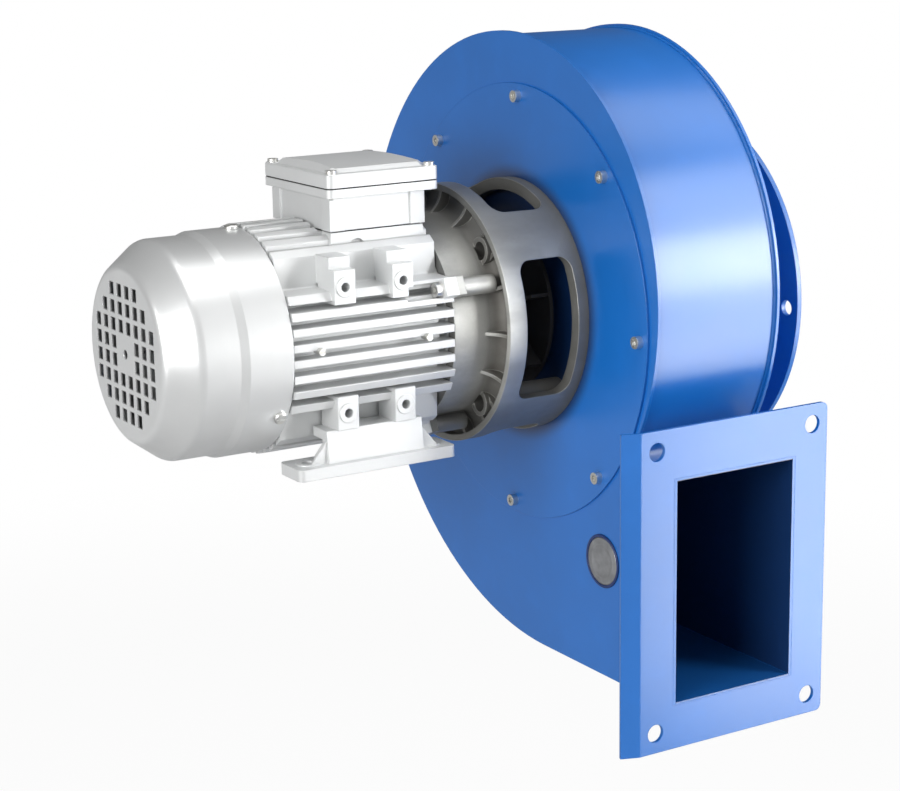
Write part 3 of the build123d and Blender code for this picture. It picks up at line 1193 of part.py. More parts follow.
def inlet_collar():
    return bar(INLET_PLATE_FACE, COLLAR_END, COLLAR_BORE_R + COLLAR_WALL, COLLAR_BORE_R)


def inlet_flange():
    bore = COLLAR_BORE_R + COLLAR_WALL + WELD
    body = bar(COLLAR_END - INLET_FLANGE_THICKNESS, COLLAR_END, INLET_FLANGE_R, bore)
    for cut in around(even_angles(INLET_HOLE_COUNT, PATTERN_PHASE), INLET_HOLE_CIRCLE_R,
                      bar(COLLAR_END - 20, COLLAR_END + 1, INLET_HOLE_R)):
        body -= cut
    return body


def cone_screw_angles():
    return even_angles(CONE_SCREW_COUNT, 22.5)


def inlet_cone():
    """Bell mouth: a flange on the inlet plate rolls over into the throat that enters the impeller's eye."""
    face = INLET_PLATE_FACE
    inner = CONE_THROAT_R
    roll = CONE_ROLL_R
    outer_roll = roll - CONE_WALL
    centre = (face + CONE_WALL - roll, inner + roll)
    corner = roll * sin(radians(45))
    outer_corner = outer_roll * sin(radians(45))
    path = [
        Line((CONE_END, inner), (centre[0], inner)),
        ThreePointArc((centre[0], inner), (centre[0] + corner, centre[1] - corner), (face + CONE_WALL, centre[1])),
        Line((face + CONE_WALL, centre[1]), (face + CONE_WALL, CONE_FLANGE_R)),
        Line((face + CONE_WALL, CONE_FLANGE_R), (face, CONE_FLANGE_R)),
        Line((face, CONE_FLANGE_R), (face, centre[1])),
        ThreePointArc((face, centre[1]), (centre[0] + outer_corner, centre[1] - outer_corner),
                      (centre[0], inner + CONE_WALL)),
        Line((centre[0], inner + CONE_WALL), (CONE_END, inner + CONE_WALL)),
        Line((CONE_END, inner + CONE_WALL), (CONE_END, inner)),
    ]
    body = revolve(make_face(Curve() + path), Axis.X)
    for cut in around(cone_screw_angles(), CONE_SCREW_CIRCLE_R,
                      bar(face - 1, face + CONE_WALL + 1, CONE_SCREW_R + SCREW_CLEARANCE)):
        body -= cut
    return body


def cone_screws():
    reach = CONE_WALL + SHEET
    seat = INLET_PLATE_FACE + CONE_WALL
    screw = Rot(0, 0, 180) * socket_screw(-seat, SMALL_HEAD_R, SMALL_HEAD, CONE_SCREW_R, reach)
    return around(cone_screw_angles(), CONE_SCREW_CIRCLE_R, screw)


def badge():
    disc = bar(COVER_BACK - BADGE_THICKNESS, COVER_BACK, BADGE_R)
    disc = chamfer(disc.edges().sort_by(Axis.X)[0], 0.5)
    return put(0, OUTLET_FACE_Y + BADGE_FROM_OUTLET, FLANGE_MID_Z, disc)


def impeller_hub():
    body = bar(HUB_START, HUB_END, IMPELLER_HUB_R)
    body += bar(HUB_FLANGE_X, HUB_FLANGE_X + HUB_FLANGE, HUB_FLANGE_R)
    body -= bar(HUB_START - 1, HUB_END + 1, SHAFT_SEAT_R + SEAT)
    key_top = SHAFT_SEAT_R - KEY_IN_SHAFT + KEY_HEIGHT
    body -= block(HUB_START - 1, HUB_END + 1, -KEY_WIDTH / 2, KEY_WIDTH / 2, 0, key_top + 0.2)
    for cut in around(rivet_angles(), RIVET_CIRCLE_R, bar(HUB_START, HUB_END, RIVET_R + SEAT)):
        body -= cut
    return body


def rivet_angles():
    return even_angles(RIVET_COUNT, 30)


def impeller_back_plate():
    body = bar(BACK_PLATE_X, HUB_FLANGE_X, IMPELLER_R, IMPELLER_HUB_R + SEAT)
    for cut in around(rivet_angles(), RIVET_CIRCLE_R, bar(BACK_PLATE_X - 1, HUB_FLANGE_X + 1, RIVET_R + SEAT)):
        body -= cut
    return body


def impeller_rivets():
    end = HUB_FLANGE_X + HUB_FLANGE
    rivet = bar(BACK_PLATE_X - RIVET_HEAD, BACK_PLATE_X, RIVET_HEAD_R) + bar(BACK_PLATE_X, end, RIVET_R)
    rivet += bar(end, end + RIVET_HEAD, RIVET_HEAD_R)
    return around(rivet_angles(), RIVET_CIRCLE_R, rivet)


def shroud_profile(outward):
    """The meridian of the shroud as (x, r) points, moved outward from the blades' edge."""
    return [(HUB_FLANGE_X + TIP_WIDTH + outward, IMPELLER_R), (EYE_X + outward, EYE_R + outward),
            (EYE_X + EYE_LENGTH, EYE_R + outward)]


def impeller_shroud():
    near = shroud_profile(0)
    far = shroud_profile(SHROUD_WALL)
    return turned(*near, *reversed(far))


def impeller_blades():
    """Backward-curved blades: each is one circular arc that leaves both radii at its blade angle."""
    turn_in = radians(90 - BLADE_ANGLE_IN)
    turn_out = radians(90 - BLADE_ANGLE_OUT)
    arc_r = (BLADE_OUTER_R ** 2 - BLADE_INNER_R ** 2) / (
        2 * (BLADE_OUTER_R * sin(turn_out) - BLADE_INNER_R * sin(turn_in)))
    centre = sqrt(arc_r ** 2 + BLADE_OUTER_R ** 2 - 2 * arc_r * BLADE_OUTER_R * sin(turn_out))
    ring = Circle(BLADE_OUTER_R) - Circle(BLADE_INNER_R)
    strip = Pos(centre, 0) * (Circle(arc_r + BLADE_THICKNESS / 2) - Circle(arc_r - BLADE_THICKNESS / 2))
    section = (strip & ring).faces().sort_by(Axis.Y)[0]
    length = EYE_X + EYE_LENGTH - HUB_FLANGE_X
    blade = put(HUB_FLANGE_X, 0, 0, extrude(Plane.YZ * section, length))
    under_shroud = turned((HUB_FLANGE_X, 0), (HUB_FLANGE_X, IMPELLER_R),
                          (HUB_FLANGE_X + TIP_WIDTH - WELD, IMPELLER_R), (EYE_X - WELD, EYE_R), (EYE_X - WELD, 0))
    blade &= under_shroud
    return [Rot(angle, 0, 0) * blade for angle in even_angles(BLADE_COUNT)]


def impeller_washer():
    return bar(HUB_END, HUB_END + END_WASHER, END_WASHER_R, END_BOLT_R + SCREW_CLEARANCE)


def impeller_bolt():
    seat = HUB_END + END_WASHER
    return hex_bar(seat, seat + END_BOLT_HEAD, END_BOLT_HEX) + bar(SHAFT_END - END_BOLT_REACH + 1, seat + 0.1, END_BOLT_R)


write("motor_frame", motor_frame())
write("nameplate_studs", nameplate_studs())
write("left_foot", foot(1))
write("right_foot", foot(-1))
write("foot_screws", foot_screws())
write("terminal_box", terminal_box())
write("box_base_gasket", box_base_gasket())
write("lid_gasket", lid_gasket())
write("terminal_lid", terminal_lid())
write("lid_screws", lid_screws())
write("terminal_board", terminal_board())
write("terminal_studs", terminal_studs())
write("cable_gland", cable_gland())
write("blanking_plug", blanking_plug())
write("rear_end_shield", rear_end_shield())
write("rear_shield_screws", rear_screws())
write("fan_cover", fan_cover())
write("fan_cover_screws", fan_cover_screws())
write("frame_screws", frame_screws())
write("front_bearing_outer", bearing_outer(FRONT_BEARING_X))
write("front_bearing_inner", bearing_inner(FRONT_BEARING_X))
write("rear_bearing_outer", bearing_outer(REAR_BEARING_X - BEARING_LENGTH))
write("rear_bearing_inner", bearing_inner(REAR_BEARING_X - BEARING_LENGTH))
write("preload_washer", preload_washer())
write("stator_core", stator_core())
write("stator_windings", stator_windings())
write("motor_shaft", motor_shaft())
write("rotor_core", rotor_core())
write("cooling_fan", cooling_fan())
write("fan_circlip", fan_circlip())
write("lantern", lantern())
write("lantern_screws", lantern_screws())
write("lantern_nuts", lantern_nuts())
write("drive_seal", drive_seal())
write("cooling_disc", cooling_disc())
write("disc_screw", disc_screw())
write("seal_retainer", seal_retainer())
write("shaft_seal", shaft_seal())
write("seal_screws", seal_screws())
write("cover_plate", cover_plate())
write("cover_screws", cover_screws())
write("cover_nuts", cover_nuts())
write("motor_side_plate", motor_side_plate())
write("inlet_side_plate", inlet_side_plate())
write("scroll_wrapper", scroll_wrapper())
write("outlet_flange", outlet_flange())
write("inlet_collar", inlet_collar())
write("inlet_flange", inlet_flange())
write("inlet_cone", inlet_cone())
write("cone_screws", cone_screws())
write("badge", badge())
write("impeller_hub", impeller_hub())
write("impeller_back_plate", impeller_back_plate())
write("impeller_rivets", impeller_rivets())
write("impeller_shroud", impeller_shroud())
write("impeller_blades", impeller_blades())
write("impeller_key", impeller_key())
write("impeller_washer", impeller_washer())
write("impeller_bolt", impeller_bolt())
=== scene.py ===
"""Finishes, weld seams and badge of a centrifugal fan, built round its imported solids."""

import logging
import math
import random
from dataclasses import dataclass
from enum import Enum

import bmesh
import bpy
from bmesh.types import BMesh, BMVert
from bpy.types import ID, Material, Node, NodeSocket, Object, World
from mathutils import Matrix, Vector


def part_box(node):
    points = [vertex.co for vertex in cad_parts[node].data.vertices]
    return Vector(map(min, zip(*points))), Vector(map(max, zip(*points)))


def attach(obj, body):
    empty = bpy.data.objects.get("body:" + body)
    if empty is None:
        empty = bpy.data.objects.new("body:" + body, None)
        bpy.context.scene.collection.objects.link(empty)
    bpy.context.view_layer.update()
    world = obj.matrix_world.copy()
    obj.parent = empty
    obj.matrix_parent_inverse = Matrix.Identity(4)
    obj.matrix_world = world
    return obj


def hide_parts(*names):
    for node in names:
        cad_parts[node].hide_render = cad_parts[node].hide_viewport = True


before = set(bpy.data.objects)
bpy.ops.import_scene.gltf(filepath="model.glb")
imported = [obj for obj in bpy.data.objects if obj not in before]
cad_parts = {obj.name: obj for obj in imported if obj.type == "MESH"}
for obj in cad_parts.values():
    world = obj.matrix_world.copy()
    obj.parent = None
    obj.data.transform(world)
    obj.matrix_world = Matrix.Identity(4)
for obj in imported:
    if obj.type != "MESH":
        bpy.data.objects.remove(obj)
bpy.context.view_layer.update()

log = logging.getLogger("fan")

MM = 0.001
SHAFT_HEIGHT = 90.0 * MM

Rgb = tuple[float, float, float]
Triple = tuple[float, float, float]
Pair = tuple[float, float]

# Near-black that painted shade darkens the enamel towards.
PAINTED_SHADE: Rgb = (0.006, 0.012, 0.045)
WHITE: Rgb = (1.0, 1.0, 1.0)
BLACK: Rgb = (0.0, 0.0, 0.0)
EVEN_SPLIT: Pair = (0.3, 0.7)
SHADER_SAMPLES = 4
BEAD_STEPS = 4
BEAD_RIPPLE: Pair = (0.82, 1.12)
BEAD_WAIST = 0.72


class Socket:
    """A float output in a node tree; arithmetic on it adds Math nodes."""

    def __init__(self, tree: "Tree", out: NodeSocket) -> None:
        """Keeps the tree and the output socket.

        Args:
            tree: The tree that the socket belongs to.
            out: The output socket itself.
        """
        self.tree = tree
        self.out = out

    def _math(self, operation: str, first: object, second: object) -> "Socket":
        """Adds one Math node and returns its value."""
        node = self.tree.node("ShaderNodeMath", {"operation": operation}, {0: first, 1: second})
        return Socket(self.tree, node.outputs[0])

    def __add__(self, other: object) -> "Socket":
        """Returns self + other."""
        return self._math("ADD", self, other)

    def __radd__(self, other: object) -> "Socket":
        """Returns other + self."""
        return self._math("ADD", other, self)

    def __sub__(self, other: object) -> "Socket":
        """Returns self - other."""
        return self._math("SUBTRACT", self, other)

    def __rsub__(self, other: object) -> "Socket":
        """Returns other - self."""
        return self._math("SUBTRACT", other, self)

    def __mul__(self, other: object) -> "Socket":
        """Returns self * other."""
        return self._math("MULTIPLY", self, other)

    def __rmul__(self, other: object) -> "Socket":
        """Returns other * self."""
        return self._math("MULTIPLY", other, self)

    def __pow__(self, other: object) -> "Socket":
        """Returns self to the power of other."""
        return self._math("POWER", self, other)

    def at_most(self, other: object) -> "Socket":
        """Returns the smaller of self and other."""
        return self._math("MINIMUM", self, other)

    def at_least(self, other: object) -> "Socket":
        """Returns the larger of self and other."""
        return self._math("MAXIMUM", self, other)

    def sine(self) -> "Socket":
        """Returns the sine of self."""
        return self._math("SINE", self, 0.0)

    def over(self, limit: float) -> "Socket":
        """Returns 1 where self is above the limit and 0 elsewhere."""
        return self._math("GREATER_THAN", self, limit)

    def under(self, limit: float) -> "Socket":
        """Returns 1 where self is below the limit and 0 elsewhere."""
        return self._math("LESS_THAN", self, limit)

    def between(self, low: float, high: float) -> "Socket":
        """Maps low to 0 and high to 1, smoothly and clamped.

        Args:
            low: The value that becomes 0.
            high: The value that becomes 1.

        Returns:
            The mapped value.
        """
        node = self.tree.node("ShaderNodeMapRange", {"interpolation_type": "SMOOTHSTEP"},
                              {"Value": self, "From Min": low, "From Max": high})
        return Socket(self.tree, node.outputs[0])


class Tree:
    """The node tree of a material or of the world, with one way to add a node."""

    def __init__(self, owner: Material | World) -> None:
        """Empties the owner's tree.

        Args:
            owner: The material or world whose nodes are made.
        """
        owner.use_nodes = True
        self.tree = owner.node_tree
        self.tree.nodes.clear()

    def node(self, kind: str, settings: dict[str, object], inputs: dict[object, object]) -> Node:
        """Adds a node.

        Args:
            kind: Blender's name of the node's type.
            settings: The node's own properties, which are set first.
            inputs: Values or links by the sockets' names or numbers.

        Returns:
            The new node.
        """
        node = self.tree.nodes.new(kind)
        for name, value in settings.items():
            setattr(node, name, value)
        for key, value in inputs.items():
            if isinstance(value, Socket):
                self.tree.links.new(value.out, node.inputs[key])
            elif isinstance(value, NodeSocket):
                self.tree.links.new(value, node.inputs[key])
            else:
                node.inputs[key].default_value = value
        return node

    def place(self) -> NodeSocket:
        """Returns the point's place in the object's own frame, in metres."""
        return self.node("ShaderNodeTexCoord", {}, {}).outputs["Object"]

    def part(self, axis: str) -> Socket:
        """Returns one coordinate of the point's place: X, Y or Z."""
        return Socket(self, self.node("ShaderNodeSeparateXYZ", {}, {0: self.place()}).outputs[axis])

    def away_from(self, y: float = 0.0, z: float = SHAFT_HEIGHT) -> Socket:
        """Returns the distance from a line along X, which is the shaft's axis unless its place is given."""
        across, above = self.part("Y") - y, self.part("Z") - z
        return (across * across + above * above) ** 0.5

    def stretched(self, scale: Triple) -> NodeSocket:
        """Returns the point's place with each axis scaled by its own factor."""
        node = self.node("ShaderNodeVectorMath", {"operation": "MULTIPLY"}, {0: self.place(), 1: scale})
        return node.outputs[0]

    def noise(self, scale: float, detail: float, at: NodeSocket | None = None) -> Socket:
        """Adds fractal noise.

        Args:
            scale: Cells to the metre, or to the unit of at.
            detail: How many finer layers are added.
            at: The vector that is looked up; the point's place where it is left out.

        Returns:
            The noise, from 0 to 1.
        """
        node = self.node("ShaderNodeTexNoise", {},
                         {"Vector": at or self.place(), "Scale": scale, "Detail": detail})
        return Socket(self, node.outputs[0])

    def cells(self, scale: float) -> Socket:
        """Returns the distance to the nearest of random points, in cells, with scale cells to the metre."""
        node = self.node("ShaderNodeTexVoronoi", {}, {"Vector": self.place(), "Scale": scale})
        return Socket(self, node.outputs["Distance"])

    def rounded(self, radius: float) -> NodeSocket:
        """Returns the normal of the surface with its edges rounded to a radius."""
        return self.node("ShaderNodeBevel", {"samples": SHADER_SAMPLES}, {"Radius": radius}).outputs[0]

    def worn(self, radius: float, low: float, high: float) -> tuple[NodeSocket, Socket]:
        """Rounds the edges, and finds them by how far the rounded normal leaves the true one.

        Args:
            radius: The edges' radius, in metres.
            low: How far it leaves it where the mask is 0.
            high: How far it leaves it where the mask is 1.

        Returns:
            The rounded normal, and the mask of the edges.
        """
        rounded = self.rounded(radius)
        normal = self.node("ShaderNodeNewGeometry", {}, {}).outputs["Normal"]
        dot = self.node("ShaderNodeVectorMath", {"operation": "DOT_PRODUCT"}, {0: rounded, 1: normal})
        return rounded, (1.0 - Socket(self, dot.outputs["Value"])).between(low, high)

    def crevices(self, distance: float) -> Socket:
        """Returns how open the place is: 1 in the open, less in a corner or a groove."""
        node = self.node("ShaderNodeAmbientOcclusion", {"samples": SHADER_SAMPLES}, {"Distance": distance})
        return Socket(self, node.outputs["AO"])

    def blend(self, factor: Socket, first: object, second: object) -> NodeSocket:
        """Mixes two colours.

        Args:
            factor: 0 gives the first colour and 1 the second.
            first: A colour or a colour socket.
            second: A colour or a colour socket.

        Returns:
            The mixed colour.
        """
        inputs = {0: factor, 6: opaque(first), 7: opaque(second)}
        return self.node("ShaderNodeMix", {"data_type": "RGBA"}, inputs).outputs[2]

    def bump(self, height: Socket, depth: float, normal: NodeSocket) -> NodeSocket:
        """Adds relief.

        Args:
            height: The relief, from 0 to 1.
            depth: What a height of 1 stands for, in metres.
            normal: The normal that the relief is added to.

        Returns:
            The changed normal.
        """
        node = self.node("ShaderNodeBump", {}, {"Height": height, "Distance": depth, "Normal": normal})
        return node.outputs[0]

    def surface(self, color: NodeSocket, roughness: Socket, normal: NodeSocket,
                others: dict[str, object]) -> None:
        """Adds the shader and the output.

        Args:
            color: The base colour.
            roughness: The roughness.
            normal: The normal with its relief.
            others: Values or links of the shader's other sockets.
        """
        varied = {"Base Color": color, "Roughness": roughness, "Normal": normal}
        shader = self.node("ShaderNodeBsdfPrincipled", {}, {**others, **varied})
        self.node("ShaderNodeOutputMaterial", {}, {"Surface": shader.outputs[0]})

    def mixed(self, factor: Socket, first: NodeSocket,
              second: NodeSocket) -> NodeSocket:
        """Returns the first shader where the factor is 0 and the second where it is 1."""
        return self.node("ShaderNodeMixShader", {}, {0: factor, 1: first, 2: second}).outputs[0]

    def rays(self) -> tuple[Socket, Socket]:
        """Sorts the rays that reach a surface or the world.

        Returns:
            Whether the ray comes from the camera, and whether it was mirrored or let through.
        """
        path = self.node("ShaderNodeLightPath", {}, {})
        names = ("Is Camera Ray", "Is Glossy Ray", "Is Transmission Ray")
        camera, gloss, through = (Socket(self, path.outputs[name]) for name in names)
        return camera, gloss.at_least(through)


def opaque(color: object) -> object:
    """Gives a plain colour its alpha of 1 and leaves a socket as it is."""
    return (*color, 1.0) if isinstance(color, tuple) and len(color) == 3 else color


def toned(color: Rgb, factor: float = 1.0, lift: float = 0.0) -> Rgb:
    """Returns the colour with each part multiplied, raised and kept at 1 or below."""
    return tuple(min(1.0, part * factor + lift) for part in color)


@dataclass(frozen=True)
class Finish:
    """A surface finish that is made into one material on its first use.

    Scales are in cells to the metre. A range is what becomes 0 and 1 in a mask, and a share is how much of
    the mask is laid on. An edge is its radius and the range of its mask.
    """

    name: str
    color: Rgb

    def material(self) -> Material:
        """Gives the finish's material, which is made on the first call.

        Returns:
            The material.
        """
        made = bpy.data.materials.get(f"{self.name}_finish")
        if made is None:
            made = bpy.data.materials.new(f"{self.name}_finish")
            self.shade(Tree(made))
        return made

    def shade(self, tree: Tree) -> None:
        """Fills the material's tree."""
        raise NotImplementedError

    def dress(self, thing: Object) -> None:
        """Puts the finish on every material slot of an object.

        Args:
            thing: The object.
        """
        slots = thing.data.materials
        if not slots:
            slots.append(self.material())
        for index in range(len(slots)):
            slots[index] = self.material()


@dataclass(frozen=True)
class Enamel(Finish):
    """Glossy sprayed enamel on sheet steel."""

    roughness: float = 0.27
    coat: float = 0.08
    coat_roughness: float = 0.2
    ior: float = 1.70
    edge: Triple = (0.7 * MM, 0.015, 0.22)
    tone_scale: float = 7.0
    tones: Pair = (0.93, 1.07)
    mottle_scale: float = 55.0
    mottle_range: Pair = (0.45, 0.8)
    mottle_share: float = 0.10
    thin_scale: float = 240.0
    thin_range: Pair = (0.35, 0.75)
    thin_share: float = 0.45
    thin_tone: Pair = (1.6, 0.05)
    speck_scale: float = 420.0
    speck_range: Pair = (0.02, 0.075)
    dust_scale: float = 30.0
    dust_range: Pair = (0.58, 0.74)
    dust_share: float = 0.5
    dust_color: Rgb = (0.42, 0.45, 0.5)
    painted_shade_share: float = 0.86
    scuff_stretch: Triple = (900.0, 60.0, 60.0)
    scuff_range: Pair = (0.66, 0.8)
    wave_scale: float = 2.6
    wave_depth: float = 0.25 * MM
    peel_scale: float = 850.0
    peel_depth: float = 0.012 * MM

    def shade(self, tree: Tree) -> None:
        """Adds orange peel, a slightly wavy sheet, thin paint on edges, dust and faint marks, and any painted
        shade.

        Args:
            tree: The material's tree.
        """
        rounded, edge = tree.worn(*self.edge)
        broad = tree.noise(self.tone_scale, 2.0)
        mottle = tree.noise(self.mottle_scale, 4.0)
        low, high = (toned(self.color, factor) for factor in self.tones)
        tone = tree.blend(broad.between(*EVEN_SPLIT), low, high)
        mottled = mottle.between(*self.mottle_range) * self.mottle_share
        tone = tree.blend(mottled, tone, toned(self.color, 1.5))
        thin = edge * tree.noise(self.thin_scale, 4.0).between(*self.thin_range) * self.thin_share
        tone = tree.blend(thin, tone, toned(self.color, *self.thin_tone))
        speck = 1.0 - tree.cells(self.speck_scale).between(*self.speck_range)
        dust = speck * tree.noise(self.dust_scale, 2.0).between(*self.dust_range) * self.dust_share
        tone = tree.blend(dust, tone, self.dust_color)
        # Painted shade: the enamel darkens where unlit() finds that light hardly reaches.
        dark = self.unlit(tree)
        if dark is not None:
            tone = tree.blend(dark * self.painted_shade_share, tone, PAINTED_SHADE)
        scuff = tree.noise(1.0, 6.0, tree.stretched(self.scuff_stretch)).between(*self.scuff_range)
        rough = self.roughness + mottle * 0.05 + scuff * 0.05 + dust * 0.3
        normal = tree.bump(tree.noise(self.wave_scale, 1.0), self.wave_depth, rounded)
        normal = tree.bump(tree.noise(self.peel_scale, 1.0), self.peel_depth, normal)
        fixed = {"Coat Roughness": self.coat_roughness, "IOR": self.ior, "Coat Weight": self.coat}
        tree.surface(tone, rough, normal, fixed)

    def unlit(self, tree: Tree) -> Socket | None:
        """Returns where painted shade darkens the enamel towards near-black; plain enamel has no such place.
        """
        return None


@dataclass(frozen=True)
class DuctEnamel(Enamel):
    """The scroll's enamel, with painted shade inside the duct and the wheel's room."""

    side_faces: Pair = (180.3 * MM, 288.7 * MM)
    floor_bend: Pair = (-33.5 * MM, 80.9 * MM)
    floor_radius: float = 263.0 * MM
    ceiling: float = -10.5 * MM
    floor_face: float = -180.6 * MM
    floor_share: float = 0.5
    wheel_room: Pair = (13.2 * MM, 90.0 * MM)
    wheel_room_radius: float = 178.0 * MM

    def unlit(self, tree: Tree) -> Socket:
        """Finds the faces that look into the duct or the wheel's room, where the enamel gets painted shade.

        Args:
            tree: The material's tree.

        Returns:
            1 on those faces, less on the duct's floor, and 0 elsewhere.
        """
        along, across, up = tree.part("X"), tree.part("Y"), tree.part("Z")
        inside = along.over(self.side_faces[0]) * along.under(self.side_faces[1])
        past = (across - self.floor_bend[0]).at_least(0.0)
        drop = up - self.floor_bend[1]
        duct = ((past * past + drop * drop) ** 0.5).under(self.floor_radius) * up.under(self.ceiling)
        duct = duct * (1.0 - up.under(self.floor_face) * self.floor_share)
        room = tree.away_from(*self.wheel_room).under(self.wheel_room_radius)
        return inside * duct.at_least(room)


@dataclass(frozen=True)
class CoverEnamel(Enamel):
    """The cover plate's enamel, with painted shade inside the lantern's foot and a painted shadow round it.
    """

    lantern_radius: float = 97.5 * MM
    shadow_halo: float = 15.0 * MM

    def unlit(self, tree: Tree) -> Socket:
        """Returns the painted shade: 1 inside the lantern's foot, fading to 0 across a halo of painted shadow
        round it.
        """
        return 1.0 - tree.away_from().between(self.lantern_radius, self.lantern_radius + self.shadow_halo)


@dataclass(frozen=True)
class SilverCasting(Finish):
    """Die-cast aluminium under silver paint, with a fine pebbled skin."""

    metallic: float = 0.55
    roughness: float = 0.40
    edge: Triple = (0.9 * MM, 0.02, 0.3)
    edge_share: float = 0.5
    edge_tone: float = 1.12
    tone_scale: float = 16.0
    groove_reach: float = 9.0 * MM
    groove_range: Pair = (0.25, 0.85)
    groove_shade_share: float = 0.12
    skin_scale: float = 700.0
    pit_scale: float = 900.0
    pit_range: Pair = (0.0, 0.5)
    grain_depth: float = 0.05 * MM

    def shade(self, tree: Tree) -> None:
        """Adds the pebbled skin, bright worn edges, and painted shade in corners and grooves, which are also
        rougher.

        Args:
            tree: The material's tree.
        """
        rounded, edge = tree.worn(*self.edge)
        broad = tree.noise(self.tone_scale, 3.0)
        skin = tree.noise(self.skin_scale, 3.0)
        groove = 1.0 - tree.crevices(self.groove_reach).between(*self.groove_range)
        tone = tree.blend(broad.between(*EVEN_SPLIT), toned(self.color, 0.95), self.color)
        # Painted shade: darker in the corners and grooves that the occlusion finds.
        tone = tree.blend(groove * self.groove_shade_share, tone, toned(self.color, 0.62))
        tone = tree.blend(edge * self.edge_share, tone, toned(self.color, self.edge_tone))
        rough = self.roughness + skin * 0.08 + groove * 0.12 - edge * 0.08
        pits = tree.cells(self.pit_scale).between(*self.pit_range)
        normal = tree.bump(skin * 0.7 + pits * 0.3, self.grain_depth, rounded)
        tree.surface(tone, rough, normal, {"Metallic": self.metallic + edge * 0.1})


@dataclass(frozen=True)
class RawCasting(Finish):
    """Bare die-cast aluminium, blasted and handled: satin and mottled, with painted shade in its corners."""

    roughness: float = 0.42
    metallic: float = 0.72
    edge: Triple = (1.1 * MM, 0.02, 0.35)
    edge_share: float = 0.4
    rubbed: Rgb = (0.72, 0.72, 0.68)
    flow_stretch: Triple = (18.0, 46.0, 46.0)
    flow_range: Pair = (0.35, 0.65)
    flow_tones: Pair = (0.86, 1.08)
    cloud_scale: float = 75.0
    cloud_range: Pair = (0.5, 0.75)
    cloud_share: float = 0.5
    corner_reach: float = 45.0 * MM
    corner_range: Pair = (0.35, 0.95)
    corner_shade_share: float = 0.8
    shaded_share: float = 0.75
    dark_tone: float = 0.25
    recess_shade_color: Rgb = (0.10, 0.093, 0.08)
    skin_scale: float = 620.0
    pit_scale: float = 380.0
    pit_range: Pair = (0.0, 0.35)
    pit_places: Pair = (0.55, 0.8)
    grain_depth: float = 0.09 * MM

    def shade(self, tree: Tree) -> None:
        """Adds flow marks, a grainy skin, rubbed edges, painted shade in corners, and any painted shade in
        recesses and on shaded sides.

        Args:
            tree: The material's tree.
        """
        rounded, edge = tree.worn(*self.edge)
        flow = tree.noise(1.0, 5.0, tree.stretched(self.flow_stretch))
        cloud = tree.noise(self.cloud_scale, 5.0)
        skin = tree.noise(self.skin_scale, 4.0)
        corner = 1.0 - tree.crevices(self.corner_reach).between(*self.corner_range)
        low, high = (toned(self.color, factor) for factor in self.flow_tones)
        dark = toned(self.color, self.dark_tone)
        tone = tree.blend(flow.between(*self.flow_range), low, high)
        clouded = cloud.between(*self.cloud_range) * self.cloud_share
        tone = tree.blend(clouded, tone, toned(self.color, 0.8))
        # Painted shade: darker in the corners that the occlusion finds.
        tone = tree.blend(corner * self.corner_shade_share, tone, dark)
        # Painted shade: a lantern darkens its recesses, and its sides that light reaches less.
        recess_shaded, shaded = self.recess_shade(tree, cloud), self.shaded_places(tree)
        if recess_shaded is not None and shaded is not None:
            tone = tree.blend(recess_shaded, tone, self.recess_shade_color)
            tone = tree.blend(shaded * self.shaded_share, tone, dark)
            corner = corner.at_least(recess_shaded)
        tone = tree.blend(edge * self.edge_share, tone, self.rubbed)
        rough = self.roughness + cloud * 0.12 + corner * 0.15 - edge * 0.14
        pits = 1.0 - tree.cells(self.pit_scale).between(*self.pit_range)
        relief = skin * 0.6 + flow * 0.4 - pits * cloud.between(*self.pit_places) * 0.8
        normal = tree.bump(relief, self.grain_depth, rounded)
        tree.surface(tone, rough, normal, {"Metallic": self.metallic - corner * 0.35})

    def recess_shade(self, tree: Tree, cloud: Socket) -> Socket | None:
        """Returns where painted shade darkens recesses; a plain casting has none."""
        return None

    def shaded_places(self, tree: Tree) -> Socket | None:
        """Returns where painted shade darkens the metal; a plain casting has no such place."""
        return None


@dataclass(frozen=True)
class LanternCasting(RawCasting):
    """The lantern's metal, with painted shade in its pockets and window walls, and towards the cover, the top
    and the sole.
    """

    pocket_x: Pair = (97.0 * MM, 107.0 * MM)
    pocket_radius: float = 95.6 * MM
    web_x: float = 118.0 * MM
    wall_radius: float = 98.6 * MM
    wall_share: float = 0.8
    # How strong the painted shade in the recesses is, and how much the cloud varies it.
    film: Pair = (0.6, 0.5)
    film_limit: float = 0.88
    # Painted shade on the drum towards the cover plate, and at its top and bottom.
    drum_shade: Pair = (134.0 * MM, 184.0 * MM)
    shade_height: Pair = (32.0 * MM, 80.0 * MM)

    def recess_shade(self, tree: Tree, cloud: Socket) -> Socket:
        """Finds the painted shade in the pockets before the web and on the drum's inner walls.

        Args:
            tree: The material's tree.
            cloud: The casting's cloudy noise, which makes the painted shade uneven.

        Returns:
            How much the painted shade darkens the metal.
        """
        along, radius = tree.part("X"), tree.away_from()
        pocket = along.between(*self.pocket_x) * radius.under(self.pocket_radius) * along.under(self.web_x)
        wall = radius.under(self.wall_radius) * along.over(self.web_x)
        film = self.film[0] + cloud * self.film[1]
        return (pocket.at_least(wall * self.wall_share) * film).at_most(self.film_limit)

    def shaded_places(self, tree: Tree) -> Socket:
        """Finds the painted shade on the drum.

        Args:
            tree: The material's tree.

        Returns:
            1 at the cover plate, and at the top and bottom, and 0 round the middle of the sides.
        """
        above = tree.part("Z") - SHAFT_HEIGHT
        height_shade = above.at_least(0.0 - above).between(*self.shade_height)
        return tree.part("X").between(*self.drum_shade).at_least(height_shade)


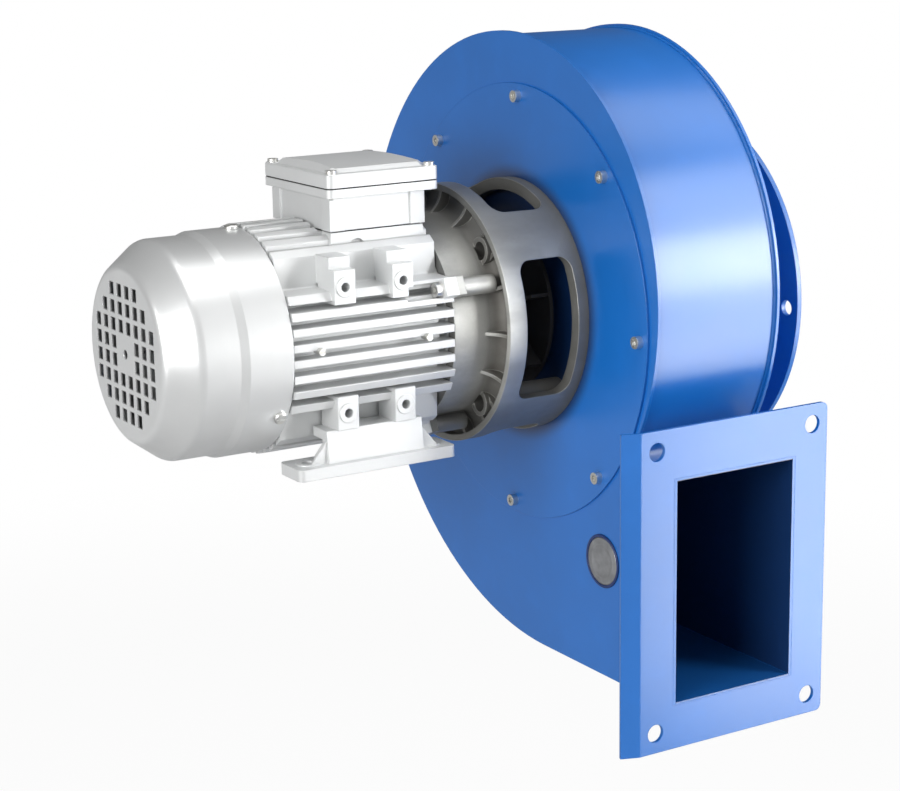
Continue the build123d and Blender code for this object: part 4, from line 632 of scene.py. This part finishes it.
@dataclass(frozen=True)
class TurnedMetal(Finish):
    """Turned or drawn metal with fine rings round the shaft's axis."""

    roughness: float = 0.24
    edge: Triple = (0.35 * MM, 0.02, 0.3)
    edge_share: float = 0.4
    edge_tone: float = 1.2
    ring_waves: float = 9000.0
    ring_depth: float = 0.012 * MM
    stain_scale: float = 120.0
    stain_range: Pair = (0.4, 0.75)

    def shade(self, tree: Tree) -> None:
        """Adds tool rings, a stain and rubbed edges.

        Args:
            tree: The material's tree.
        """
        rounded, edge = tree.worn(*self.edge)
        rings = ((tree.away_from() + tree.part("X")) * self.ring_waves).sine()
        stain = tree.noise(self.stain_scale, 4.0)
        tone = tree.blend(stain.between(*self.stain_range), self.color, toned(self.color, 0.78))
        tone = tree.blend(edge * self.edge_share, tone, toned(self.color, self.edge_tone))
        rough = self.roughness + stain * 0.14 + rings * 0.03
        normal = tree.bump(rings * 0.5 + 0.5, self.ring_depth, rounded)
        tree.surface(tone, rough, normal, {"Metallic": 1.0})


@dataclass(frozen=True)
class ZincPlate(Finish):
    """Zinc-plated fasteners with a faint yellow passivation."""

    tint: Rgb
    roughness: float = 0.26
    edge: Triple = (0.3 * MM, 0.03, 0.35)
    edge_share: float = 0.5
    rubbed: Rgb = (0.86, 0.86, 0.84)
    patch_scale: float = 160.0
    patch_range: Pair = (0.35, 0.7)
    spangle_scale: float = 1400.0
    spangle_depth: float = 0.02 * MM

    def shade(self, tree: Tree) -> None:
        """Adds the tint in patches, a crystalline spangle and rubbed edges.

        Args:
            tree: The material's tree.
        """
        rounded, edge = tree.worn(*self.edge)
        patch = tree.noise(self.patch_scale, 4.0)
        spangle = tree.cells(self.spangle_scale)
        tone = tree.blend(patch.between(*self.patch_range), self.color, self.tint)
        tone = tree.blend(edge * self.edge_share, tone, self.rubbed)
        rough = self.roughness + spangle * 0.14 + patch * 0.08
        normal = tree.bump(spangle, self.spangle_depth, rounded)
        tree.surface(tone, rough, normal, {"Metallic": 1.0})


@dataclass(frozen=True)
class Moulding(Finish):
    """Moulded plastic or rubber with a fine spark-eroded skin."""

    roughness: float
    grain: float = 1800.0
    depth: float = 0.02 * MM
    edge: Triple = (0.4 * MM, 0.03, 0.35)
    dust_scale: float = 90.0
    dust_range: Pair = (0.5, 0.85)
    pale_lift: float = 0.10

    def shade(self, tree: Tree) -> None:
        """Adds the moulded grain, rubbed edges and a little dust.

        Args:
            tree: The material's tree.
        """
        rounded, edge = tree.worn(*self.edge)
        grain = tree.noise(self.grain, 2.0)
        dust = tree.noise(self.dust_scale, 5.0).between(*self.dust_range)
        tone = tree.blend(dust * 0.25 + edge * 0.3, self.color, toned(self.color, lift=self.pale_lift))
        rough = self.roughness + grain * 0.1 + dust * 0.08
        normal = tree.bump(grain, self.depth, rounded)
        tree.surface(tone, rough, normal, {})


@dataclass(frozen=True)
class Laminations(Finish):
    """A stack of punched electrical sheet, seen as fine rings along the shaft."""

    sheets_per_metre: float = 2000.0
    sheet_depth: float = 0.03 * MM
    varnish: Rgb = (0.20, 0.13, 0.08)
    varnish_scale: float = 70.0

    def shade(self, tree: Tree) -> None:
        """Adds the stack's lines and a film of varnish.

        Args:
            tree: The material's tree.
        """
        rounded = tree.rounded(0.3 * MM)
        lines = (tree.part("X") * (2.0 * math.pi * self.sheets_per_metre)).sine() * 0.5 + 0.5
        film = tree.noise(self.varnish_scale, 4.0)
        tone = tree.blend(lines * 0.6, self.color, toned(self.color, 0.55))
        tone = tree.blend(film.between(0.5, 0.8) * 0.4, tone, self.varnish)
        normal = tree.bump(lines, self.sheet_depth, rounded)
        tree.surface(tone, 0.38 + film * 0.2, normal, {"Metallic": 0.7})


@dataclass(frozen=True)
class WoundWire(Finish):
    """Enamelled wire in laced bundles."""

    wire_pitch: float = 0.9 * MM
    wire_depth: float = 0.3 * MM
    waver_scale: float = 45.0
    waver_width: float = 6.0 * MM

    def shade(self, tree: Tree) -> None:
        """Adds wires that run round the shaft in wavering bundles.

        Args:
            tree: The material's tree.
        """
        rounded = tree.rounded(0.4 * MM)
        waver = tree.noise(self.waver_scale, 3.0) * self.waver_width
        place = tree.away_from() + tree.part("X") + waver
        wires = (place * (2.0 * math.pi / self.wire_pitch)).sine() * 0.5 + 0.5
        tone = tree.blend(wires, toned(self.color, 0.35), self.color)
        normal = tree.bump(wires, self.wire_depth, rounded)
        tree.surface(tone, 0.3 + wires * 0.1, normal, {"Metallic": 0.5})


@dataclass(frozen=True)
class PressedFelt(Finish):
    """Grey wool felt, matted and a little greasy."""

    fibre_stretch: Triple = (900.0, 2600.0, 1500.0)
    fibre_depth: float = 0.25 * MM

    def shade(self, tree: Tree) -> None:
        """Adds matted fibres.

        Args:
            tree: The material's tree.
        """
        rounded = tree.rounded(0.6 * MM)
        fibres = tree.noise(1.0, 5.0, tree.stretched(self.fibre_stretch))
        tone = tree.blend(fibres.between(*EVEN_SPLIT), toned(self.color, 0.6), self.color)
        normal = tree.bump(fibres, self.fibre_depth, rounded)
        tree.surface(tone, 0.85 + fibres * 0.1, normal, {"Sheen Weight": 0.3})


@dataclass(frozen=True)
class SpunDisc(Finish):
    """Spun bare aluminium with rings round its own centre."""

    centre: Pair
    roughness: float = 0.3
    edge_radius: float = 0.3 * MM
    ring_waves: float = 14000.0
    ring_depth: float = 0.02 * MM
    cloud_scale: float = 130.0
    cloud_range: Pair = (0.35, 0.7)

    def shade(self, tree: Tree) -> None:
        """Adds the spun rings and a faint cloud.

        Args:
            tree: The material's tree.
        """
        rounded = tree.rounded(self.edge_radius)
        rings = (tree.away_from(*self.centre) * self.ring_waves).sine()
        cloud = tree.noise(self.cloud_scale, 4.0)
        tone = tree.blend(cloud.between(*self.cloud_range), self.color, toned(self.color, 0.8))
        rough = self.roughness + rings * 0.05 + cloud * 0.1
        normal = tree.bump(rings * 0.5 + 0.5, self.ring_depth, rounded)
        tree.surface(tone, rough, normal, {"Metallic": 0.9})


PAINT: Rgb = (0.006, 0.125, 0.45)
BARE_ALUMINIUM: Rgb = (0.60, 0.60, 0.57)
BLUE = Enamel("blue_enamel", PAINT)
DUCT_BLUE = DuctEnamel("blue_duct_enamel", PAINT)
COVER_BLUE = CoverEnamel("blue_cover_enamel", PAINT)
SILVER = SilverCasting("silver_casting", (0.71, 0.72, 0.72), metallic=0.42)
SILVER_SHEET = SilverCasting("silver_sheet", (0.76, 0.77, 0.77), metallic=0.60, roughness=0.29,
                             grain_depth=0.003 * MM)
RAW = RawCasting("raw_casting", BARE_ALUMINIUM)
LANTERN = LanternCasting("lantern_casting", BARE_ALUMINIUM)
STEEL = TurnedMetal("turned_steel", (0.56, 0.56, 0.57))
BRASS = TurnedMetal("turned_brass", (0.80, 0.60, 0.28))
ZINC = ZincPlate("zinc_plate", (0.80, 0.80, 0.79), (0.74, 0.73, 0.68))
BLACK_PLASTIC = Moulding("black_moulding", (0.022, 0.022, 0.024), 0.42)
RUBBER = Moulding("black_rubber", (0.018, 0.018, 0.018), 0.62, grain=1100.0, depth=0.04 * MM)
SHEETS = Laminations("lamination_stack", (0.30, 0.30, 0.32))
WIRE = WoundWire("wound_wire", (0.62, 0.26, 0.09))
FELT = PressedFelt("pressed_felt", (0.42, 0.40, 0.35))


class Edge(Enum):
    """Which corner of the scroll a weld lies in."""

    MOTOR_SIDE = "motor_side"
    INLET_SIDE = "inlet_side"


def object_from(name: str, source: ID | BMesh) -> Object:
    """Makes an object and links it to the scene.

    Args:
        name: The name of the object and of its mesh.
        source: Its lamp or camera data, or its mesh in the making, which is freed here.

    Returns:
        The new object.
    """
    data = source
    if isinstance(source, BMesh):
        data = bpy.data.meshes.new(name)
        source.to_mesh(data)
        source.free()
    thing = bpy.data.objects.new(name, data)
    bpy.context.scene.collection.objects.link(thing)
    return thing


@dataclass
class Assembly:
    """A group of CAD nodes on one body, with the finish of each."""

    body: str
    finishes: dict[str, Finish]

    def build(self) -> None:
        """Dresses the nodes and adds the assembly's own pieces."""
        for node, finish in self.finishes.items():
            finish.dress(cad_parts[node])
            log.info("dressed %s in %s", node, finish.name)
        self.add_pieces()

    def add_pieces(self) -> None:
        """Adds what the solids leave out; most groups need nothing more."""

    def add(self, name: str, mesh: BMesh, finish: Finish, slot: str) -> Object:
        """Makes an object from a mesh and lets it ride on the body.

        Args:
            name: The piece's name.
            mesh: Its mesh, in metres in the row's frame; it is freed here.
            finish: Its finish.
            slot: The record's material slot, which is not used.

        Returns:
            The new object.
        """
        bmesh.ops.recalc_face_normals(mesh, faces=mesh.faces)
        thing = object_from(name, mesh)
        for polygon in thing.data.polygons:
            polygon.use_smooth = True
        finish.dress(thing)
        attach(thing, self.body)
        log.info("added %s with %d faces", name, len(thing.data.polygons))
        return thing


def sweep_bead(path: list[Vector], sides: list[tuple[Vector, Vector]], size: float, seed: int,
               closed: bool) -> BMesh:
    """Makes a rippled fillet weld along a path, with a nearly flat face between its two legs.

    Args:
        path: The corner's line.
        sides: For each point, the two directions of the surfaces that meet there.
        size: The bead's leg, in metres.
        seed: Seed of the ripple.
        closed: Whether the last point joins the first.

    Returns:
        The bead's mesh.
    """
    ripple = random.Random(seed)
    mesh = bmesh.new()
    rings = []
    for point, (first, second) in zip(path, sides):
        leg = size * ripple.uniform(*BEAD_RIPPLE)
        ring = [mesh.verts.new(point)]
        for step in range(BEAD_STEPS + 1):
            angle = 0.5 * math.pi * step / BEAD_STEPS
            arm = first * math.cos(angle) + second * math.sin(angle)
            bulge = BEAD_WAIST + (1.0 - BEAD_WAIST) * abs(math.cos(2.0 * angle))
            ring.append(mesh.verts.new(point + arm * leg * bulge))
        rings.append(ring)
    pairs = list(zip(rings, rings[1:]))
    if closed:
        pairs.append((rings[-1], rings[0]))
    for near, far in pairs:
        for index in range(len(near)):
            after = (index + 1) % len(near)
            mesh.faces.new((near[index], near[after], far[after], far[index]))
    if not closed:
        mesh.faces.new(rings[0])
        mesh.faces.new(list(reversed(rings[-1])))
    return mesh


def ring_path(x: float, radius: float, count: int) -> list[Vector]:
    """Goes round the shaft's axis.

    Args:
        x: The ring's place along the shaft.
        radius: Its radius.
        count: How many points it has.

    Returns:
        The points in metres.
    """
    points = []
    for index in range(count):
        angle = 2.0 * math.pi * index / count
        points.append(Vector((x, -radius * math.sin(angle), SHAFT_HEIGHT + radius * math.cos(angle))))
    return points


def outward(point: Vector) -> Vector:
    """Returns the direction from the shaft's axis to a point."""
    return Vector((0.0, point.y, point.z - SHAFT_HEIGHT)).normalized()


@dataclass(frozen=True)
class Arc:
    """A circular run of a line that is seen along the shaft, with heights from the shaft's axis.

    The centre and the radius are in millimetres, and the angles in degrees from the Y axis towards Z.
    """

    y: float
    z: float
    radius: float
    start: float
    end: float

    def points(self, x: float, step: float) -> list[Vector]:
        """Returns the arc's points.

        Args:
            x: Their place along the shaft, in metres.
            step: The largest distance between two of them, in metres.

        Returns:
            The points in metres, both ends included.
        """
        turn = math.radians(self.end - self.start)
        count = max(2, math.ceil(abs(turn) * self.radius * MM / step))
        found = []
        for index in range(count + 1):
            angle = math.radians(self.start) + turn * index / count
            y = (self.y + self.radius * math.cos(angle)) * MM
            z = (self.z + self.radius * math.sin(angle)) * MM + SHAFT_HEIGHT
            found.append(Vector((x, y, z)))
        return found


@dataclass
class Scroll(Assembly):
    """The scroll housing: side plates, wrapper and the beads that join them."""

    bead: float = 1.6 * MM
    bead_step: float = 3.0 * MM
    outlet_y: float = -199.6 * MM
    tongue: Arc = Arc(-168.2, -84.1, 15.0, -90.0, 28.9)
    runs: tuple[Arc, ...] = (Arc(13.2, 16.0, 192.2, 208.9, 90.0), Arc(13.2, -9.1, 217.3, 90.0, 0.0),
                             Arc(-33.5, -9.1, 264.0, 0.0, -90.0))

    def add_pieces(self) -> None:
        """Adds a weld bead in the corner between each side plate and the wrapper."""
        low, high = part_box("scroll_wrapper")
        edges = ((Edge.MOTOR_SIDE, low.x, 1.0), (Edge.INLET_SIDE, high.x, -1.0))
        for number, (edge, x, way) in enumerate(edges):
            path = self.corner(x)
            along = Vector((way, 0.0, 0.0))
            sides = [(along, self.away(path, index)) for index in range(len(path))]
            mesh = sweep_bead(path, sides, self.bead, number, closed=False)
            self.add(f"scroll_weld_{edge.value}", mesh, self.finishes["scroll_wrapper"], "blue_paint")

    def corner(self, x: float) -> list[Vector]:
        """Follows the wrapper's outer face from the outlet's top round to its floor.

        Args:
            x: The edge's place along the shaft.

        Returns:
            The line's points in metres.
        """
        turns = [arc.points(x, self.bead_step) for arc in (self.tongue, *self.runs)]
        line = self.straight(x, self.outlet_y, turns[0][0].y, turns[0][0].z)
        for turn in turns:
            line += turn[1:]
        return line + self.straight(x, line[-1].y, self.outlet_y, line[-1].z)[1:]

    def straight(self, x: float, start: float, end: float, z: float) -> list[Vector]:
        """Returns evenly spaced points along Y between two places."""
        count = max(2, math.ceil(abs(end - start) / self.bead_step))
        return [Vector((x, start + (end - start) * index / count, z)) for index in range(count + 1)]

    def away(self, path: list[Vector], index: int) -> Vector:
        """Returns the wrapper's outward direction at a point of the line, which is always on its left."""
        along = (path[min(index + 1, len(path) - 1)] - path[max(index - 1, 0)]).normalized()
        return Vector((0.0, -along.z, along.y))


@dataclass
class Inlet(Assembly):
    """The round inlet: collar, flange and cone, with welded rings."""

    bead: float = 2.2 * MM
    points: int = 200

    def add_pieces(self) -> None:
        """Adds the bead that joins the collar to the side plate and the one behind the flange."""
        low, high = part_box("inlet_collar")
        radius = (high.y - low.y) / 2
        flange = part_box("inlet_flange")[0]
        blue = self.finishes["inlet_collar"]
        for name, x, way, seed in (("plate", low.x, 1.0, 11), ("flange", flange.x, -1.0, 12)):
            path = ring_path(x, radius, self.points)
            sides = [(Vector((way, 0.0, 0.0)), outward(point)) for point in path]
            mesh = sweep_bead(path, sides, self.bead, seed, closed=True)
            self.add(f"collar_weld_{name}", mesh, blue, "blue_paint")


@dataclass
class Badge(Assembly):
    """A plain round plate: a dark rim round a turned face with a raised ring and a raised middle.

    Heights are shares of the plate's thickness, and the face's radii are shares of its own radius.
    """

    rim: float = 2.2 * MM
    rim_color: Rgb = (0.012, 0.03, 0.12)
    rim_roughness: float = 0.3
    shoulders: Pair = (0.7, 0.8)
    bevels: Pair = (0.4 * MM, 0.3 * MM)
    face_color: Rgb = (0.46, 0.47, 0.49)
    face: tuple[Pair, ...] = ((0.0, 1.0), (0.62, 1.0), (0.7, 0.94), (0.7, 0.76), (0.9, 0.73), (0.9, 0.68),
                              (0.62, 0.65), (0.62, 0.4), (0.85, 0.2), (0.9, 0.0), (0.0, 0.0))
    segments: int = 96

    def add_pieces(self) -> None:
        """Replaces the plain disc by a rim and a turned face."""
        low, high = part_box("badge")
        centre = (low + high) / 2
        radius = (high.y - low.y) / 2
        thick = high.x - low.x
        step = radius - self.rim
        rim_profile = [(0.0, radius), (thick * self.shoulders[0], radius), (thick, radius - self.bevels[0]),
                       (thick, step + self.bevels[1]), (thick * self.shoulders[1], step), (0.0, step)]
        dark = Moulding("badge_rim", self.rim_color, self.rim_roughness)
        rim = self.add("badge_rim", self.turned(centre, high.x, rim_profile), dark, "blue_paint")
        face_profile = [(thick * height, step * share) for height, share in self.face]
        spun = SpunDisc("spun_badge", self.face_color, (centre.y, centre.z))
        face = self.add("badge_face", self.turned(centre, high.x, face_profile), spun, "badge_metal")
        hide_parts("badge")
        log.info("the badge is %s and %s", rim.name, face.name)

    def turned(self, centre: Vector, back: float, profile: list[Pair]) -> BMesh:
        """Turns a profile round the plate's own axis.

        Args:
            centre: A point on the axis.
            back: Where the plate's back face lies along X.
            profile: Height in front of the back face, and radius.

        Returns:
            The closed mesh.
        """
        mesh = bmesh.new()
        rings = []
        for height, radius in profile:
            if radius == 0.0:
                rings.append([mesh.verts.new((back - height, centre.y, centre.z))])
                continue
            ring = []
            for index in range(self.segments):
                angle = 2.0 * math.pi * index / self.segments
                y = centre.y + radius * math.cos(angle)
                ring.append(mesh.verts.new((back - height, y, centre.z + radius * math.sin(angle))))
            rings.append(ring)
        for near, far in zip(rings, rings[1:] + rings[:1]):
            self.join(mesh, near, far)
        return mesh

    def join(self, mesh: BMesh, near: list[BMVert],
             far: list[BMVert]) -> None:
        """Adds the faces between two rings.

        Args:
            mesh: The mesh that gets the faces.
            near: One ring, or a single point.
            far: The other ring, or a single point.
        """
        count = max(len(near), len(far))
        if count == 1:
            return
        for index in range(count):
            after = (index + 1) % count
            corners = [near[index % len(near)], near[after % len(near)],
                       far[after % len(far)], far[index % len(far)]]
            kept = list(dict.fromkeys(corners))
            if len(kept) > 2:
                mesh.faces.new(kept)


@dataclass(frozen=True)
class Softbox:
    """A rectangular lamp that the camera doesn't see.

    It hangs at one place and faces another. Its size is in metres, and a radiance of 1 is white.
    """

    name: str
    at: Triple
    toward: Triple
    size: Pair
    radiance: float

    def hang(self) -> None:
        """Adds the lamp to the scene."""
        data = bpy.data.lights.new(self.name, "AREA")
        data.shape = "RECTANGLE"
        data.size = self.size[0]
        data.size_y = self.size[1]
        data.energy = self.radiance * math.pi * self.size[0] * self.size[1]
        lamp = object_from(self.name, data)
        lamp.location = self.at
        lamp.rotation_euler = (Vector(self.toward) - Vector(self.at)).to_track_quat("-Z", "Y").to_euler()
        lamp.visible_camera = False


@dataclass
class Studio:
    """Floor, lamps, world and the camera at the photograph's place."""

    softboxes: tuple[Softbox, ...] = (
        Softbox("strip_core", (0.92, -0.98, 0.27), (0.234, -0.18, 0.13), (0.36, 0.42), 14.2),
        Softbox("strip_low", (0.92, -0.95, -0.27), (0.234, -0.20, -0.05), (0.36, 0.66), 6.9),
        Softbox("strip_high", (0.88, -0.80, 0.70), (0.234, -0.15, 0.20), (0.40, 0.45), 4.6),
        Softbox("strip_top", (0.88, -0.25, 1.08), (0.234, -0.05, 0.25), (0.50, 0.85), 1.7),
        Softbox("top_box", (0.05, -0.30, 1.70), (0.05, 0.0, 0.1), (1.2, 1.2), 2.3),
        Softbox("left_box", (-1.90, -0.80, 0.55), (0.0, 0.0, 0.1), (1.1, 1.1), 9.0))
    floor_z: float = -0.62
    floor_size: float = 14.0
    floor_white: float = 0.92
    floor_color: Rgb = (0.82, 0.82, 0.82)
    floor_gloss: float = 0.18
    dim_gloss: float = 0.27
    dim_reach: Pair = (0.2, 0.9)
    shadow_middle: Pair = (0.10, 0.35)
    shadow_reach: Pair = (0.9, 1.9)
    world_light: float = 0.36
    front_gloss: float = 0.54
    back_gloss: float = 0.08
    back_horizon: float = 0.30
    front_to_back: Pair = (-0.6, 0.6)
    horizon_fade: Pair = (0.0, 0.07)
    camera_at: Triple = (-0.7479, -1.4085, 0.4114)
    right: Triple = (0.851175, -0.524637, -0.016023)
    up: Triple = (0.133439, 0.186766, 0.973300)
    clip: Pair = (0.05, 60.0)
    focal_px: float = 2170.0
    picture_width_px: float = 900.0
    sensor_mm: float = 36.0

    def build(self) -> None:
        """Sets up the whole studio."""
        self.world()
        self.floor()
        for softbox in self.softboxes:
            softbox.hang()
        self.camera()
        bpy.context.scene.view_settings.view_transform = "Standard"

    def world(self) -> None:
        """Makes a world that is white for the camera and dimmer for matte surfaces.

        Gloss sees it white at the front horizon, and dimmer above that and behind.
        """
        world = bpy.data.worlds.new("pale_world")
        bpy.context.scene.world = world
        tree = Tree(world)
        camera, gloss = tree.rays()
        way = tree.node("ShaderNodeTexCoord", {}, {}).outputs["Generated"]
        parts = tree.node("ShaderNodeSeparateXYZ", {}, {0: way}).outputs
        behind, height = Socket(tree, parts["Y"]), Socket(tree, parts["Z"])
        lit = self.backdrop(tree, self.world_light)
        shown = self.backdrop(tree, 1.0)
        front, back = self.backdrop(tree, self.front_gloss), self.backdrop(tree, self.back_gloss)
        turn = behind.between(*self.front_to_back)
        horizon = tree.mixed(turn, shown, self.backdrop(tree, self.back_horizon))
        sky = tree.mixed(height.between(*self.horizon_fade), horizon, tree.mixed(turn, front, back))
        sky = tree.mixed(camera, tree.mixed(gloss, lit, sky), shown)
        tree.node("ShaderNodeOutputWorld", {}, {"Surface": sky})

    def backdrop(self, tree: Tree, strength: float) -> NodeSocket:
        """Returns a white world of a strength, where 1 is white."""
        node = tree.node("ShaderNodeBackground", {}, {"Color": opaque(WHITE), "Strength": strength})
        return node.outputs[0]

    def floor(self) -> None:
        """Lays the plain pale floor."""
        half = self.floor_size / 2
        mesh = bmesh.new()
        corners = ((-half, -half), (half, -half), (half, half), (-half, half))
        mesh.faces.new([mesh.verts.new((x, y, self.floor_z)) for x, y in corners])
        floor = object_from("floor", mesh)
        floor.data.materials.append(self.floor_material())

    def floor_material(self) -> Material:
        """Makes the floor almost white for the camera, with a faint shadow near the object.

        Gloss sees it darker, and darkest near the object.

        Returns:
            The material.
        """
        material = bpy.data.materials.new("pale_floor")
        tree = Tree(material)
        camera, gloss = tree.rays()
        across, along = tree.part("X") - self.shadow_middle[0], tree.part("Y") - self.shadow_middle[1]
        away = (across * across + along * along) ** 0.5
        far = away.between(*self.shadow_reach)
        level = away.between(*self.dim_reach) * self.floor_gloss + self.dim_gloss
        matte, black = (tree.node("ShaderNodeBsdfDiffuse", {}, {"Color": opaque(color)}).outputs[0]
                        for color in (self.floor_color, BLACK))
        glow = tree.node("ShaderNodeEmission", {}, {"Color": opaque(WHITE), "Strength": 1.0}).outputs[0]
        shown = camera * (far * (1.0 - self.floor_white) + self.floor_white)
        mixed = tree.mixed(shown, matte, glow)
        mixed = tree.mixed(gloss, mixed, tree.mixed(level, black, glow))
        tree.node("ShaderNodeOutputMaterial", {}, {"Surface": mixed})
        return material

    def camera(self) -> None:
        """Places the camera where the photograph was taken from."""
        data = bpy.data.cameras.new("camera")
        data.sensor_width = self.sensor_mm
        data.lens = self.focal_px * self.sensor_mm / self.picture_width_px
        data.clip_start, data.clip_end = self.clip
        camera = object_from("camera", data)
        right = Vector(self.right).normalized()
        up = (Vector(self.up) - right * right.dot(Vector(self.up))).normalized()
        back = right.cross(up)
        turn = Matrix((right, up, back)).transposed().to_4x4()
        camera.matrix_world = Matrix.Translation(Vector(self.camera_at)) @ turn
        bpy.context.scene.camera = camera


def main() -> None:
    """Builds the fan's finishes and pieces, then the studio."""
    logging.basicConfig(level=logging.INFO, format="%(name)s: %(message)s")
    assemblies: list[Assembly] = [
        Scroll("housing", {
            "motor_side_plate": DUCT_BLUE, "inlet_side_plate": DUCT_BLUE, "scroll_wrapper": DUCT_BLUE,
            "outlet_flange": BLUE}),
        Inlet("housing", {
            "inlet_collar": BLUE, "inlet_flange": BLUE, "inlet_cone": BLUE, "cone_screws": ZINC}),
        Assembly("housing", {
            "cover_plate": COVER_BLUE, "cover_screws": ZINC, "cover_nuts": ZINC, "seal_retainer": STEEL,
            "shaft_seal": FELT, "seal_screws": ZINC}),
        Badge("housing", {}),
        Assembly("housing", {
            "lantern": LANTERN, "lantern_screws": ZINC, "lantern_nuts": ZINC, "frame_screws": ZINC,
            "drive_seal": RUBBER}),
        Assembly("housing", {
            "motor_frame": SILVER, "rear_end_shield": SILVER, "left_foot": SILVER, "right_foot": SILVER,
            "foot_screws": ZINC, "nameplate_studs": ZINC, "rear_shield_screws": ZINC,
            "stator_core": SHEETS, "stator_windings": WIRE, "front_bearing_outer": STEEL,
            "rear_bearing_outer": STEEL, "preload_washer": STEEL}),
        Assembly("housing", {"fan_cover": SILVER_SHEET, "fan_cover_screws": ZINC}),
        Assembly("housing", {
            "terminal_box": SILVER, "terminal_lid": SILVER, "box_base_gasket": RUBBER,
            "lid_gasket": RUBBER, "lid_screws": ZINC, "terminal_board": BLACK_PLASTIC,
            "terminal_studs": BRASS, "cable_gland": BLACK_PLASTIC, "blanking_plug": BLACK_PLASTIC}),
        Assembly("rotor", {
            "motor_shaft": STEEL, "rotor_core": SHEETS, "front_bearing_inner": STEEL,
            "rear_bearing_inner": STEEL, "cooling_fan": BLACK_PLASTIC, "fan_circlip": STEEL,
            "cooling_disc": BLACK_PLASTIC, "disc_screw": STEEL}),
        Assembly("rotor", {
            "impeller_hub": RAW, "impeller_back_plate": BLUE, "impeller_rivets": ZINC,
            "impeller_shroud": BLUE, "impeller_blades": BLUE, "impeller_key": STEEL,
            "impeller_washer": ZINC, "impeller_bolt": ZINC}),
    ]
    for assembly in assemblies:
        assembly.build()
    Studio().build()


if __name__ == "__main__":
    main()
